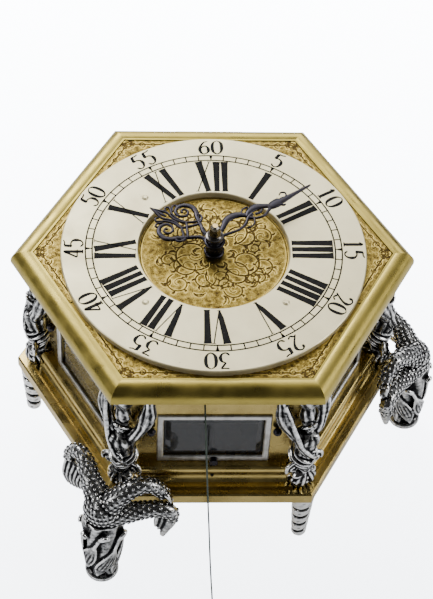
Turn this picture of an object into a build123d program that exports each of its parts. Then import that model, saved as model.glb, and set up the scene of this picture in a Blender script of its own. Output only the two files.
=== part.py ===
"""Hexagonal table clock with figure corners, dragon feet and a pull cord.

Units are millimetres. The origin is on the table, under the hand arbor, +Z is up and
-Y is the front. The hexagon has a corner every 60 degrees, starting on +X.
"""

from build123d import *
from math import atan2, cos, degrees, hypot, pi, radians, sin, tan
import os

# ---------------------------------------------------------------- case: driving sizes
SIDES = 6
WALL_APOTHEM = 50.6  # centre to the outside of a wall, which the other widths follow
BASE_LEDGE = 9.3  # base plate past the walls
COVER_OVERHANG = 9.25  # cover past the walls
BASE_UNDER_Z = 33.1  # underside of the base plate above the table
BASE_THICK = 4.7
MOULDING_HEIGHT = 8.4
WALL_THICK = 2.0
WALL_HEIGHT = 44.75
COVER_HEIGHT = 5.3
COVER_GAP = 0.15  # between the wall tops and the hinged cover

BASE_TOP_Z = BASE_UNDER_Z + BASE_THICK
WALL_BOTTOM_Z = BASE_TOP_Z + MOULDING_HEIGHT
WALL_TOP_Z = WALL_BOTTOM_Z + WALL_HEIGHT
COVER_UNDER_Z = WALL_TOP_Z + COVER_GAP
COVER_TOP_Z = COVER_UNDER_Z + COVER_HEIGHT
WALL_INNER_APOTHEM = WALL_APOTHEM - WALL_THICK
HALF_CORNER = 180 / SIDES
CORNER_RATIO = 1 / cos(radians(HALF_CORNER))  # circumradius over apothem
BASE_APOTHEM = WALL_APOTHEM + BASE_LEDGE
COVER_APOTHEM = WALL_APOTHEM + COVER_OVERHANG
BASE_CORNER_R = BASE_APOTHEM * CORNER_RATIO
WALL_CORNER_R = WALL_APOTHEM * CORNER_RATIO
BASE_EDGE_CHAMFER = 0.5

# base moulding: ledges and hollow, each measured outwards from the wall or up from the plate
PLINTH_REACH = 6.4
PLINTH_HEIGHT = 1.2
COVE_REACH = 4.6
COVE_DEPTH = 1.4
COVE_HEIGHT = 3.6
BEAD_REACH = 4.0
COVE_BOW = 0.28  # the hollow's middle in from its upper edge
COVE_SAG = 0.4  # and its height under the middle
LEDGE_REACH = 3.0

# windows
FRAME_HALF_WIDTH = 19.2
FRAME_BOTTOM_RISE = 0.2
FRAME_HEIGHT = 26.1
FRAME_BAR = 2.2
FRAME_BOTTOM_BAR = 2.7
FRAME_PROUD = 0.8
FRAME_CHAMFER = 0.35
FRAME_LAP = 0.25  # how far the frame covers the edge of the pane
PANE_THICK = 1.4
PANE_CLEARANCE = 0.1
FRAME_BOTTOM_Z = WALL_BOTTOM_Z + FRAME_BOTTOM_RISE
FRAME_TOP_Z = FRAME_BOTTOM_Z + FRAME_HEIGHT
LIGHT_HALF_WIDTH = FRAME_HALF_WIDTH - FRAME_BAR
LIGHT_BOTTOM_Z = FRAME_BOTTOM_Z + FRAME_BOTTOM_BAR
LIGHT_TOP_Z = FRAME_TOP_Z - FRAME_BAR
HOLE_HALF_WIDTH = LIGHT_HALF_WIDTH + FRAME_LAP
HOLE_BOTTOM_Z = LIGHT_BOTTOM_Z - FRAME_LAP
HOLE_TOP_Z = LIGHT_TOP_Z + FRAME_LAP

# blued ball-headed pins beside each window
PIN_BALL_R = 1.5
PIN_SHANK_R = 0.6
PIN_BALL_OUT = 1.7  # wall to the ball's centre
PIN_OUT = 2.0  # window frame edge to pin axis
PIN_RISE = 18.8  # wall bottom to pin axis
PIN_Z = WALL_BOTTOM_Z + PIN_RISE

# corner figures: radius at each height above the base plate, as a turned block
FIGURE_OUT = 2.57  # wall corner to the figure's axis
FIGURE_RADIAL = WALL_CORNER_R + FIGURE_OUT
FIGURE_BULB_R = 4.7
FIGURE_HEADROOM = 0.25
NICHE_CLEARANCE = 0.15
FIGURE_OUTLINE = (
    (2.8, 0.0),
    (FIGURE_BULB_R, 4.0),
    (FIGURE_BULB_R - 0.4, 7.5),
    (3.3, 10.0),
    (4.4, 15.0),
    (3.9, 19.5),
    (4.6, 25.0),
    (4.3, 28.0),
    (2.4, 29.6),
    (3.4, 33.0),
    (2.9, 36.5),
    (2.2, 39.5),
    (2.4, 43.0),
)
CAPITAL_R = 4.2
CAPITAL_HEIGHT = 5.0
SHOULDER_RISE = 27.5
SHOULDER_SIDE = 3.0
ARM_R = 2.1
ARM_REACH = 8.2
HAND_DROP = 3.2  # top of the figure to the end of a raised arm

# feet
FOOT_INSET = 4.87  # base plate corner to the tenon
PAD_OUT = 7.13  # base plate corner to the middle of the pad
FOOT_RADIAL = BASE_CORNER_R - FOOT_INSET
PAD_RADIAL = round(BASE_CORNER_R + PAD_OUT, 1)  # whole tenths, because a stand's sockets fit the pads
PAD_R = 6.0
PAD_HEIGHT = 2.2
TENON_R = 1.5
TENON_LENGTH = 3.0
RIBBED_TOP_R = 4.0
RIBBED_END_R = 2.7
RIBBED_LENGTH = 25.1
RIB_COUNT = 6
RIB_DEPTH = 0.7
RIB_FALL = 0.45  # share of a rib under its widest edge

# dragon feet: each point is out from the pad, across towards the limbs, and up from the base plate's top
COLUMN_SECTIONS = ((4.6, 0.0, PAD_HEIGHT), (5.3, -0.6, 12.0), (7.2, -1.0, 28.5))  # radius, out, height
TRUNK_R = 6.9
TRUNK = (-1.3, 0.0, 0.2)
BOSS_R = 3.6
BOSS_HEIGHT = 6.0
BRIDGE_HALF_WIDTH = 3.0
BRIDGE_DROP = 0.5
NECK_R = 3.0
NECK_END = (-12.3, -20.0, 3.2)
NECK = ((-3.3, -3.5, 3.2), (-5.3, -7.5, 7.2), (-9.3, -10.5, 10.7), (-11.3, -14.0, 12.0), NECK_END)
FIN_R = 2.4
FIN = (NECK_END, (-9.3, -16.5, -5.8), (-8.3, -14.5, -11.8))
LIMB_R = 2.7
UPPER_LIMB = ((-2.3, 3.0, 4.2), (-6.3, 7.0, 9.7), (-10.3, 10.4, 11.2), (-14.0, 17.3, 4.6))
LOWER_LIMB = ((-1.3, 3.0, -1.8), (-7.3, 12.0, 0.2), (-12.3, 20.8, 0.2), (-10.8, 18.2, -14.8))

# dial
DIAL_THICK = 1.6
DIAL_SINK = 0.4  # cover rim above the dial plate
DIAL_CLEARANCE = 0.05
COVER_RIM = 0.7
COVER_ROLL = 6.05  # width of the rounded moulding
COVER_LIP = 0.9
RING_MARGIN = 1.1  # cover rim to chapter ring
RING_INNER_R = 25.8
RING_THICK = 2.3
RING_PIN_INSET = 7.2  # ring bore to the rivets
RING_PIN_RADIAL = RING_INNER_R + RING_PIN_INSET
RING_PIN_R = 0.8
RING_PIN_HEAD_R = 1.25
DIAL_HOLE_R = 2.7
RIVET_COUNT = 4
RIVET_HEAD_H = 0.45
RING_CHAMFER = 0.3
LEDGE_LAP = 1.1  # cover's inner ledge past the walls
LEDGE_INNER_APOTHEM = WALL_INNER_APOTHEM - LEDGE_LAP
COVER_WALL_LAP = 0.9
COVER_SKIN = 1.5
COVER_LIP_WIDTH = 1.2
COVER_LIP_TAPER = 0.7
ROLL_BOW = (0.26, 0.22)  # the moulding's fullest point, in from its edge and down from its top
RIM_INNER_APOTHEM = COVER_APOTHEM - COVER_ROLL - COVER_RIM
RING_OUTER_R = RIM_INNER_APOTHEM - RING_MARGIN
DIAL_TOP_Z = COVER_TOP_Z - DIAL_SINK
DIAL_UNDER_Z = DIAL_TOP_Z - DIAL_THICK
RING_TOP_Z = DIAL_TOP_Z + RING_THICK

# movement
PLATE_R = 38.0
PLATE_THICK = 2.5
MOTION_SPACE = 6.4  # dial plate underside to the upper movement plate
WHEEL_THICK = 1.4
BARREL_RISE = 1.5  # lower plate to the barrel, and so on up the train
BARREL_DRUM_H = 14.0
CENTRE_GAP = 4.1  # barrel teeth to the centre wheel
CENTRE_HEADROOM = 3.6  # centre wheel to the upper plate
CENTRE_RISE = BARREL_RISE + BARREL_DRUM_H + WHEEL_THICK + CENTRE_GAP
PILLAR_HEIGHT = CENTRE_RISE + WHEEL_THICK + CENTRE_HEADROOM
UPPER_TOP_Z = DIAL_UNDER_Z - MOTION_SPACE
UPPER_UNDER_Z = UPPER_TOP_Z - PLATE_THICK
LOWER_TOP_Z = UPPER_UNDER_Z - PILLAR_HEIGHT
LOWER_UNDER_Z = LOWER_TOP_Z - PLATE_THICK
PILLAR_INSET = 3.5  # plate edge to the pillars
PILLAR_RADIAL = PLATE_R - PILLAR_INSET
PILLAR_COLLAR = 3.0
PILLAR_WAIST = 0.62
PILLAR_ANGLES = (25, 155, 215, 300)
PILLAR_R = 2.1
SCREW_R = 0.8
SCREW_HEAD_R = 1.7
SCREW_HEAD_H = 1.0
SCREW_DEPTH = 5.0
DIAL_FOOT_R = 1.2
DIAL_FOOT_INSET = 3.0
DIAL_FOOT_RADIAL = PLATE_R - DIAL_FOOT_INSET
DIAL_FOOT_ANGLES = (75, 185, 330)
PIVOT_CLEARANCE = 0.04
PIVOT_R = 0.7
ARBOR_R = 1.2
WINDING_ARBOR_R = ARBOR_R + 0.3

# gearing: teeth and module of each wheel and of the pinion that it meets
MODULE = 0.5
BARREL_TEETH = 60
CENTRE_PINION_TEETH = 12
CENTRE_TEETH = 64
THIRD_TEETH = 60
LEAVES = 8
FOURTH_TEETH = 64
FOURTH_MODULE = 0.35
ESCAPE_TEETH = 15
ESCAPE_R = 4.5
ESCAPE_ARBOR_R = 0.9
ESCAPE_ROOT = 0.78  # root over tip, and the next is the root's share of the way to the next tip
ESCAPE_LEAD = 0.7
ESCAPE_THICK = 0.8
CANNON_TEETH = 12
MINUTE_TEETH = 36
CANNON_MODULE = 0.4
MINUTE_PINION_TEETH = 10
HOUR_TEETH = 40
HOUR_MODULE = CANNON_MODULE * (CANNON_TEETH + MINUTE_TEETH) / (MINUTE_PINION_TEETH + HOUR_TEETH)
WHEEL_ADDENDUM = 0.7  # in modules, as the next two
PINION_ADDENDUM = 0.5
DEDENDUM = 1.3
WHEEL_TOOTH = 0.40  # share of the pitch, as the next two
PINION_TOOTH = 0.34
TOOTH_TIP = 0.17
HUB_R = 3.0
RIM_WIDTH = 2.2
SPOKE_WIDTH = 1.4


def mesh_distance(module, first, second):
    """Distance between the arbors of two meshed gears."""
    return module * (first + second) / 2


def stepped(start, distance, angle):
    """The point at a distance and a direction in degrees from another point."""
    return (start[0] + distance * cos(radians(angle)), start[1] + distance * sin(radians(angle)))


CENTRE = (0.0, 0.0)
BARREL_ANGLE = 90
THIRD_ANGLE = -30
FOURTH_ANGLE = -150
ESCAPE_ANGLE = 180
BALANCE_ANGLE = 180
MINUTE_ANGLE = 45
BARREL_AT = stepped(CENTRE, mesh_distance(MODULE, BARREL_TEETH, CENTRE_PINION_TEETH), BARREL_ANGLE)
THIRD_AT = stepped(CENTRE, mesh_distance(MODULE, CENTRE_TEETH, LEAVES), THIRD_ANGLE)
FOURTH_AT = stepped(THIRD_AT, mesh_distance(MODULE, THIRD_TEETH, LEAVES), FOURTH_ANGLE)
ESCAPE_AT = stepped(FOURTH_AT, mesh_distance(FOURTH_MODULE, FOURTH_TEETH, LEAVES), ESCAPE_ANGLE)
BALANCE_STAFF_R = 0.55
ESCAPE_CLEARANCE = 0.15
BALANCE_AT = stepped(ESCAPE_AT, ESCAPE_R + BALANCE_STAFF_R + ESCAPE_CLEARANCE, BALANCE_ANGLE)
MINUTE_AT = stepped(CENTRE, mesh_distance(CANNON_MODULE, CANNON_TEETH, MINUTE_TEETH), MINUTE_ANGLE)

# barrel, and the other wheels' heights above the lower plate
BARREL_DRUM_R = 14.2
BARREL_WALL = 1.0
MAINSPRING_INNER_R = 5.5
MAINSPRING_OUTER_R = 12.6
SPRING_GAP = 0.4
CORE_GAP = 1.2  # barrel core inside the mainspring
WINDING_COLLAR_GAP = 1.5
SQUARE_STEP = 0.3
POST_GAP = 1.0
MOTION_GAP = 0.6  # upper plate to the cannon pinion's wheel
HOUR_WHEEL_GAP = 1.0
CANNON_OVERLAP = 0.3
FOURTH_RISE = 4.5
ESCAPE_RISE = 8.0
THIRD_RISE = 10.5
END_SHAKE = 0.2
PINION_OVERLAP = 1.6  # pinion leaves past each face of the wheel that drives them

# hands
CANNON_PIPE_R = 1.6
CANNON_BORE_R = 0.95
HOUR_PIPE_R = 2.35
PIPE_CLEARANCE = 0.05
HOUR_HAND_RISE = 3.8  # chapter ring top to the underside of the hour hand
MINUTE_HAND_RISE = 5.5
HAND_THICK = 0.5
HAND_SHOULDER = 0.3  # step in the cannon pipe under the minute hand
HAND_HUB_R = 3.6
HOUR_HAND_LENGTH = 26.4
HOUR_LEAF = ((-12.0, 1.2), (-6.0, 2.4))  # back from the hour hand's point, and half width
LOOP_OUT = 2.9  # hub edge to the centre of the hour hand's large loops
LOOP_SIDE = 2.9
LOOP_R = 3.6
SMALL_LOOP_OUT = 8.3
SMALL_LOOP_SIDE = 2.1
SMALL_LOOP_R = 2.7
LOOP_BAR = 1.3
MINUTE_HAND_LENGTH = 41.8
MINUTE_HUB_R = 3.0
MINUTE_LOOPS_OUT = (3.4, 11.6)  # hub edge of the hour hand to each oval loop
MINUTE_LOOP = (4.4, 2.4)
MINUTE_LOOP_HOLE = (3.0, 1.3)
MINUTE_LOOP_SHIFT = 0.2
MINUTE_TAPER_OUT = 15.0
MINUTE_TAPER = (1.3, 0.2)  # half widths at its two ends
CENTRE_ARBOR_R = 0.9
ARBOR_END_RISE = 12.0
COLLET_R = 3.0
COLLET_H = 1.6
COLLET_STEP = 0.7
SHOWN_HOUR = 10
SHOWN_MINUTE = 9
MINUTE_HAND_ANGLE = 90 - 6 * SHOWN_MINUTE
HOUR_HAND_ANGLE = 90 - 30 * (SHOWN_HOUR + SHOWN_MINUTE / 60)
HOUR_HAND_Z = RING_TOP_Z + HOUR_HAND_RISE
MINUTE_HAND_Z = RING_TOP_Z + MINUTE_HAND_RISE
ARBOR_END_Z = RING_TOP_Z + ARBOR_END_RISE

# balance and cock, under the lower plate
BALANCE_R = 9.0
BALANCE_RIM = 1.2
BALANCE_THICK = 1.2
BALANCE_HUB_R = 1.4
BALANCE_ARM_W = 0.9
BALANCE_ARMS = 3
BALANCE_ARM_ANGLE = 20
BALANCE_DROP = 2.6  # lower plate underside to the balance rim's top
COCK_THICK = 1.6
COCK_DROP = 5.6  # lower plate underside to the top of the cock's arm
COCK_FOOT_ANGLE = 46
COCK_FOOT_DISTANCE = 12.6
COCK_FOOT_R = 2.6
COCK_END_R = 2.2
COCK_SINK = 0.6  # arm's underside to the floor of the pivot hole
COCK_RELIEF = 0.2

# bell and hammer
BELL_AT = (4.0, -12.0)
BELL_R = 20.0
BELL_H = 7.5
BELL_WALL = 1.0
BELL_LIFT = 1.2
BELL_HOLE_R = 1.5
BELL_NUT_R = 2.6
BELL_NUT_H = 1.6
BELL_SHOULDER = 0.72  # share of the radius and height at the bell's turn
BELL_SLEEVE = 0.9
BELL_SLEEVE_GAP = 0.3
BELL_POST_SINK = 0.4
HAMMER_AT = (30.0, 4.0)
HAMMER_HEAD_R = 2.4
HAMMER_GAP = 1.48  # bell rim to the hammer head
HAMMER_ANGLE = -4.8
HAMMER_HEAD_AT = stepped(BELL_AT, BELL_R + HAMMER_GAP + HAMMER_HEAD_R, HAMMER_ANGLE)
HAMMER_PIVOT_R = 1.0
HAMMER_COLLAR = 0.8
HAMMER_LIFT = 0.5
HAMMER_COLLAR_H = 3.0
HAMMER_HEAD_H = 5.0
HAMMER_ARM_W = 1.8
HAMMER_ARM_H = 1.2
HAMMER_ARM_DROP = 1.2

# winding arbor and its shutter
SQUARE = 2.6
SQUARE_END_Z = BASE_TOP_Z + 3.4
WINDING_HOLE_R = 5.0
SHUTTER_ARM = 14.0
SHUTTER_R = 6.5
SHUTTER_THICK = 1.2
SHUTTER_GAP = 0.15
SHUTTER_EYE_R = 3.0
SHUTTER_PIP_R = 1.0
SHUTTER_PIP_H = 1.2
SHUTTER_HEAD_H = 0.9
SHUTTER_OPEN = 60
SHUTTER_PIVOT = (BARREL_AT[0] + SHUTTER_ARM, BARREL_AT[1])

# screws that hold the base plate to its moulding
BASE_SCREW_OUT = 2.4  # wall to the screw
BASE_SCREW_RADIAL = WALL_APOTHEM + BASE_SCREW_OUT
BASE_SCREW_R = 1.0
BASE_SCREW_HEAD_R = 2.0
BASE_SCREW_LENGTH = 9.0
SLOT_SIZE = 0.5
SINK_DEPTH = BASE_SCREW_HEAD_R - BASE_SCREW_R

# cover hinge at the back, and the catch at the front
HINGE_OUT = 1.75  # cover edge to the hinge axis
HINGE_DROP = 1.1  # cover underside to the hinge axis
HINGE_PIN_R = 0.7
KNUCKLE_R = 1.5
KNUCKLE_HALF = 4.9
HINGE_HALF = 12.0
KNUCKLE_GAP = 0.1
LEAF_THICK = 1.2
COVER_LEAF_LAP = 1.1
HINGE_Y = COVER_APOTHEM + HINGE_OUT
HINGE_Z = COVER_UNDER_Z - HINGE_DROP
CATCH_X = 0.3
CATCH_Z = FRAME_BOTTOM_Z + FRAME_BOTTOM_BAR / 2
CATCH_SPINDLE_R = 0.6
CATCH_KNOB_R = 1.45
CATCH_KNOB_L = 1.8
CATCH_KNOB_GAP = 0.15
CATCH_ARM = 6.0
CATCH_ARM_W = 1.2
CATCH_ARM_THICK = 1.5
TOE_X = (2.5, 6.0)
TOE_THICK = 1.2
TOE_Y = (-PLATE_R, -PLATE_R + 4.0)
TOE_WALL = 1.5
TOE_GAP = 0.4
CATCH_ARM_Y = TOE_Y[0] + 0.1  # front face of the arm, over the toe of the catch block

# pull cord, with the points of its route chosen by hand
CORD_D = 0.6
EYELET_R = 1.3
EYELET_PROUD = 1.0
EYELET_BORE_R = 0.45
CORD_ROUTE = (  # across, out from the wall, height
    (-3.7, EYELET_PROUD, 80.0),
    (-3.6, 5.6, 79.0),
    (-3.4, 10.0, 74.6),
    (-3.0, 12.3, 67.0),
    (-2.3, 12.8, 53.0),
    (-1.5, 13.1, 38.0),
    (-0.6, 13.6, 22.5),
    (0.1, 15.6, 9.0),
    (0.6, 20.4, 1.8),
    (0.9, 27.4, 0.32),
    (1.0, 36.4, 0.31),
    (1.7, 44.9, 0.31),
)
CORD_POINTS = [(across, -(WALL_APOTHEM + out), height) for across, out, height in CORD_ROUTE]
CORD_EXIT = CORD_POINTS[0]
KNOT_R = 0.9
KNOT_L = 2.2
KNOT_LAP = 0.3
KNOT_ROUND = 0.4

BIG = 400.0
MIN = (Align.CENTER, Align.CENTER, Align.MIN)


# ---------------------------------------------------------------- shared helpers
def disc(radius, bottom, top, at=CENTRE, mode=Mode.ADD):
    """A vertical cylinder between two heights, in the part being built."""
    with Locations((at[0], at[1], bottom)):
        Cylinder(radius, top - bottom, align=MIN, mode=mode)


def block(x_range, y_range, z_range, mode=Mode.ADD):
    """A box between two values along each axis, in the part being built."""
    middle = [(low + high) / 2 for low, high in (x_range, y_range, z_range)]
    with Locations(tuple(middle)):
        Box(x_range[1] - x_range[0], y_range[1] - y_range[0], z_range[1] - z_range[0], mode=mode)


def tube_between(start, end, radius, mode=Mode.ADD):
    """A round bar from one point to another, with a ball at its far end."""
    direction = Vector(*end) - Vector(*start)
    with BuildSketch(Plane(origin=start, z_dir=direction)) as section:
        Circle(radius)
    extrude(section.sketch, amount=direction.length, mode=mode)
    with Locations(end):
        Sphere(radius, mode=mode)


def gear_outline(teeth, module, addendum, share, phase):
    """Straight-sided teeth: points of the outline, with a tooth centred on the phase angle."""
    pitch_r = module * teeth / 2
    tip_r = pitch_r + addendum * module
    root_r = pitch_r - DEDENDUM * module
    step = 2 * pi / teeth
    side, tip = share * step / 2, TOOTH_TIP * step / 2
    half_tooth = ((root_r, side), (pitch_r, side), (tip_r, tip))
    corners = [(r, -turn) for r, turn in half_tooth] + list(reversed(half_tooth))
    outline = []
    for tooth in range(teeth):
        middle = radians(phase) + tooth * step
        outline += [(r * cos(middle + turn), r * sin(middle + turn)) for r, turn in corners]
    return outline


def wheel(teeth, module, at, bottom, thick, towards, spoke_holes=5):
    """A crossed-out wheel with a tooth pointing at the gear it meets."""
    with BuildSketch(Plane.XY.offset(bottom)) as face:
        with Locations(at):
            Polygon(*gear_outline(teeth, module, WHEEL_ADDENDUM, WHEEL_TOOTH, towards), align=None)
            if spoke_holes:
                middle = (HUB_R + module * teeth / 2 - RIM_WIDTH) / 2
                between = middle * sin(pi / spoke_holes) - SPOKE_WIDTH / 2
                with PolarLocations(middle, spoke_holes):
                    Circle(min(middle - HUB_R, between), mode=Mode.SUBTRACT)
    extrude(face.sketch, amount=thick)


def pinion(teeth, module, at, bottom, thick, towards):
    """Pinion leaves with a space facing the wheel that drives them."""
    with BuildSketch(Plane.XY.offset(bottom)) as face:
        with Locations(at):
            phase = towards + 180 / teeth
            Polygon(*gear_outline(teeth, module, PINION_ADDENDUM, PINION_TOOTH, phase), align=None)
    extrude(face.sketch, amount=thick)


def pivoted_arbor(at, shaft_r=ARBOR_R):
    """An arbor between the plates, with a thinner pivot in each plate."""
    disc(shaft_r, LOWER_TOP_Z + END_SHAKE, UPPER_UNDER_Z - END_SHAKE, at)
    disc(PIVOT_R, LOWER_UNDER_Z + END_SHAKE, UPPER_TOP_Z - END_SHAKE, at)


def hex_prism(apothem, bottom, top, mode=Mode.ADD):
    """The case's hexagon between two heights."""
    with BuildSketch(Plane.XY.offset(bottom)) as face:
        RegularPolygon(apothem * CORNER_RATIO, SIDES)
    extrude(face.sketch, amount=top - bottom, mode=mode)


def keep_one_side():
    """Trims a straight length that faces +X to its 60 degree share, so that it mitres."""
    with BuildSketch(Plane.XY.offset(-BIG / 2)) as share:
        half = BIG * tan(radians(HALF_CORNER))
        Polygon((0, 0), (BIG, -half), (BIG, half), align=None)
    extrude(share.sketch, amount=2 * BIG, mode=Mode.INTERSECT)


def all_sides(length):
    """Six copies of one mitred length, each a solid of its own."""
    return Compound([length.rotate(Axis.Z, HALF_CORNER + side * 360 / SIDES) for side in range(SIDES)])


os.makedirs("parts", exist_ok=True)


def save(piece, label):
    """Labels a finished piece and writes its STEP file."""
    piece.label = label
    export_step(piece, f"parts/{label}.step")


# ---------------------------------------------------------------- base plate and moulding
with BuildPart() as base_plate:
    hex_prism(BASE_APOTHEM, BASE_UNDER_Z, BASE_TOP_Z)
    chamfer(base_plate.edges().group_by(Axis.Z)[-1], length=BASE_EDGE_CHAMFER)
    disc(WINDING_HOLE_R, BASE_UNDER_Z, BASE_TOP_Z, BARREL_AT, Mode.SUBTRACT)
    disc(BASE_SCREW_R, BASE_UNDER_Z, BASE_UNDER_Z + BASE_THICK / 2, SHUTTER_PIVOT, Mode.SUBTRACT)
    disc(BELL_HOLE_R, BASE_UNDER_Z, BASE_TOP_Z, BELL_AT, Mode.SUBTRACT)
    with Locations(Location((0, 0, BASE_UNDER_Z))):
        with PolarLocations(FOOT_RADIAL, SIDES):
            Cylinder(TENON_R, TENON_LENGTH, align=MIN, mode=Mode.SUBTRACT)
        with PolarLocations(BASE_SCREW_RADIAL, SIDES, start_angle=HALF_CORNER):
            Cylinder(BASE_SCREW_R, BASE_THICK, align=MIN, mode=Mode.SUBTRACT)
            Cone(BASE_SCREW_HEAD_R, BASE_SCREW_R, SINK_DEPTH, align=MIN, mode=Mode.SUBTRACT)
save(base_plate.part, "base_plate")

with BuildPart() as moulding_length:
    with BuildSketch(Plane.XZ):
        with BuildLine():
            inner = WALL_INNER_APOTHEM
            ledge_out = WALL_APOTHEM + LEDGE_REACH
            bead_out = WALL_APOTHEM + BEAD_REACH
            cove_out = WALL_APOTHEM + COVE_REACH
            plinth_out = WALL_APOTHEM + PLINTH_REACH
            plinth_z = BASE_TOP_Z + PLINTH_HEIGHT
            cove_z = plinth_z + COVE_HEIGHT
            cove_in = cove_out - COVE_DEPTH
            plinth_foot = (plinth_out, BASE_TOP_Z)
            Polyline((cove_out, plinth_z), (plinth_out, plinth_z), plinth_foot, (inner, BASE_TOP_Z))
            Polyline((inner, BASE_TOP_Z), (inner, WALL_BOTTOM_Z), (ledge_out, WALL_BOTTOM_Z))
            bead_middle = (bead_out, (WALL_BOTTOM_Z + cove_z) / 2)
            ThreePointArc((ledge_out, WALL_BOTTOM_Z), bead_middle, (cove_in, cove_z))
            cove_middle = (cove_in + COVE_BOW, (cove_z + plinth_z) / 2 - COVE_SAG)
            ThreePointArc((cove_in, cove_z), cove_middle, (cove_out, plinth_z))
        make_face()
    extrude(amount=BASE_APOTHEM, both=True)
    keep_one_side()
    niche_r = FIGURE_BULB_R + NICHE_CLEARANCE
    for turn in (-HALF_CORNER, HALF_CORNER):
        disc(niche_r, BASE_TOP_Z, WALL_BOTTOM_Z, stepped(CENTRE, FIGURE_RADIAL, turn), Mode.SUBTRACT)
    screw_end = BASE_UNDER_Z + BASE_SCREW_LENGTH
    disc(BASE_SCREW_R, BASE_TOP_Z, screw_end, (BASE_SCREW_RADIAL, 0), Mode.SUBTRACT)
save(all_sides(moulding_length.part), "base_moulding")

with BuildPart() as base_screws:
    with Locations(Location((0, 0, BASE_UNDER_Z))):
        with PolarLocations(BASE_SCREW_RADIAL, SIDES, start_angle=HALF_CORNER):
            Cylinder(BASE_SCREW_R, BASE_SCREW_LENGTH, align=MIN)
            Cone(BASE_SCREW_HEAD_R, BASE_SCREW_R, SINK_DEPTH, align=MIN)
            Box(2 * BASE_SCREW_HEAD_R, SLOT_SIZE, SLOT_SIZE, align=MIN, mode=Mode.SUBTRACT)
    head_top = BASE_UNDER_Z - SHUTTER_GAP - SHUTTER_THICK - SHUTTER_GAP
    disc(BASE_SCREW_R, head_top, BASE_UNDER_Z + BASE_THICK / 2, SHUTTER_PIVOT)
    disc(BASE_SCREW_HEAD_R, head_top - SHUTTER_HEAD_H, head_top, SHUTTER_PIVOT)
save(base_screws.part, "base_screws")

with BuildPart() as winding_shutter:
    closed_top = BASE_UNDER_Z - SHUTTER_GAP
    open_at = stepped(SHUTTER_PIVOT, SHUTTER_ARM, 180 + SHUTTER_OPEN)
    with BuildSketch(Plane.XY.offset(closed_top - SHUTTER_THICK)) as shutter_face:
        with Locations(open_at):
            Circle(SHUTTER_R)
        with Locations(SHUTTER_PIVOT):
            Circle(SHUTTER_EYE_R)
        make_hull()
        with Locations(SHUTTER_PIVOT):
            Circle(BASE_SCREW_R + PIPE_CLEARANCE, mode=Mode.SUBTRACT)
    extrude(shutter_face.sketch, amount=SHUTTER_THICK)
    with Locations((open_at[0], open_at[1], closed_top - SHUTTER_THICK)):
        Cylinder(SHUTTER_PIP_R, SHUTTER_PIP_H, align=(Align.CENTER, Align.CENTER, Align.MAX))
save(winding_shutter.part, "winding_shutter")

# ---------------------------------------------------------------- walls and windows
with BuildPart() as wall_side:
    block((WALL_INNER_APOTHEM, WALL_APOTHEM), (-BASE_APOTHEM, BASE_APOTHEM), (WALL_BOTTOM_Z, WALL_TOP_Z))
    keep_one_side()
    across = (WALL_INNER_APOTHEM - 1, WALL_APOTHEM + 1)
    light = (-HOLE_HALF_WIDTH, HOLE_HALF_WIDTH)
    block(across, light, (HOLE_BOTTOM_Z, HOLE_TOP_Z), Mode.SUBTRACT)
    for side in (-1, 1):
        with Locations(Plane(origin=(0, side * (FRAME_HALF_WIDTH + PIN_OUT), PIN_Z), z_dir=(1, 0, 0))):
            Cylinder(PIN_SHANK_R, BIG, mode=Mode.SUBTRACT)


def wall_strips():
    """The side cut into two stiles and two rails, which are straight strips."""
    strips = []
    z_range = (WALL_BOTTOM_Z, WALL_TOP_Z)
    cuts = {
        "left": ((-BIG, -HOLE_HALF_WIDTH), z_range),
        "right": ((HOLE_HALF_WIDTH, BIG), z_range),
        "top": ((-HOLE_HALF_WIDTH, HOLE_HALF_WIDTH), (HOLE_TOP_Z, WALL_TOP_Z)),
        "bottom": ((-HOLE_HALF_WIDTH, HOLE_HALF_WIDTH), (WALL_BOTTOM_Z, HOLE_BOTTOM_Z)),
    }
    for y_range, strip_z in cuts.values():
        with BuildPart() as strip:
            add(wall_side.part)
            block((0, BIG), y_range, strip_z, Mode.INTERSECT)
        strips.append(strip.part)
    return strips


STRIPS = wall_strips()
with BuildPart() as front_holes:
    with Locations(Plane(origin=(CATCH_X, -WALL_APOTHEM, CATCH_Z), z_dir=(0, -1, 0))):
        Cylinder(CATCH_SPINDLE_R + PIVOT_CLEARANCE, 4 * WALL_THICK)
    with Locations(Plane(origin=(CORD_EXIT[0], -WALL_APOTHEM, CORD_EXIT[2]), z_dir=(0, -1, 0))):
        Cylinder(EYELET_R, 4 * WALL_THICK)

walls = []
for side in range(SIDES):
    for strip in STRIPS:
        placed = strip.rotate(Axis.Z, HALF_CORNER + side * 360 / SIDES)
        walls += (placed - front_holes.part).solids()
save(Compound(walls), "wall_panels")

with BuildPart() as frame_side:
    block(
        (WALL_APOTHEM, WALL_APOTHEM + FRAME_PROUD),
        (-FRAME_HALF_WIDTH, FRAME_HALF_WIDTH),
        (FRAME_BOTTOM_Z, FRAME_TOP_Z),
    )
    block(
        (WALL_APOTHEM - 1, WALL_APOTHEM + 2),
        (-LIGHT_HALF_WIDTH, LIGHT_HALF_WIDTH),
        (LIGHT_BOTTOM_Z, LIGHT_TOP_Z),
        Mode.SUBTRACT,
    )
    chamfer(frame_side.faces().sort_by(Axis.X)[-1].edges(), length=FRAME_CHAMFER)


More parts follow.
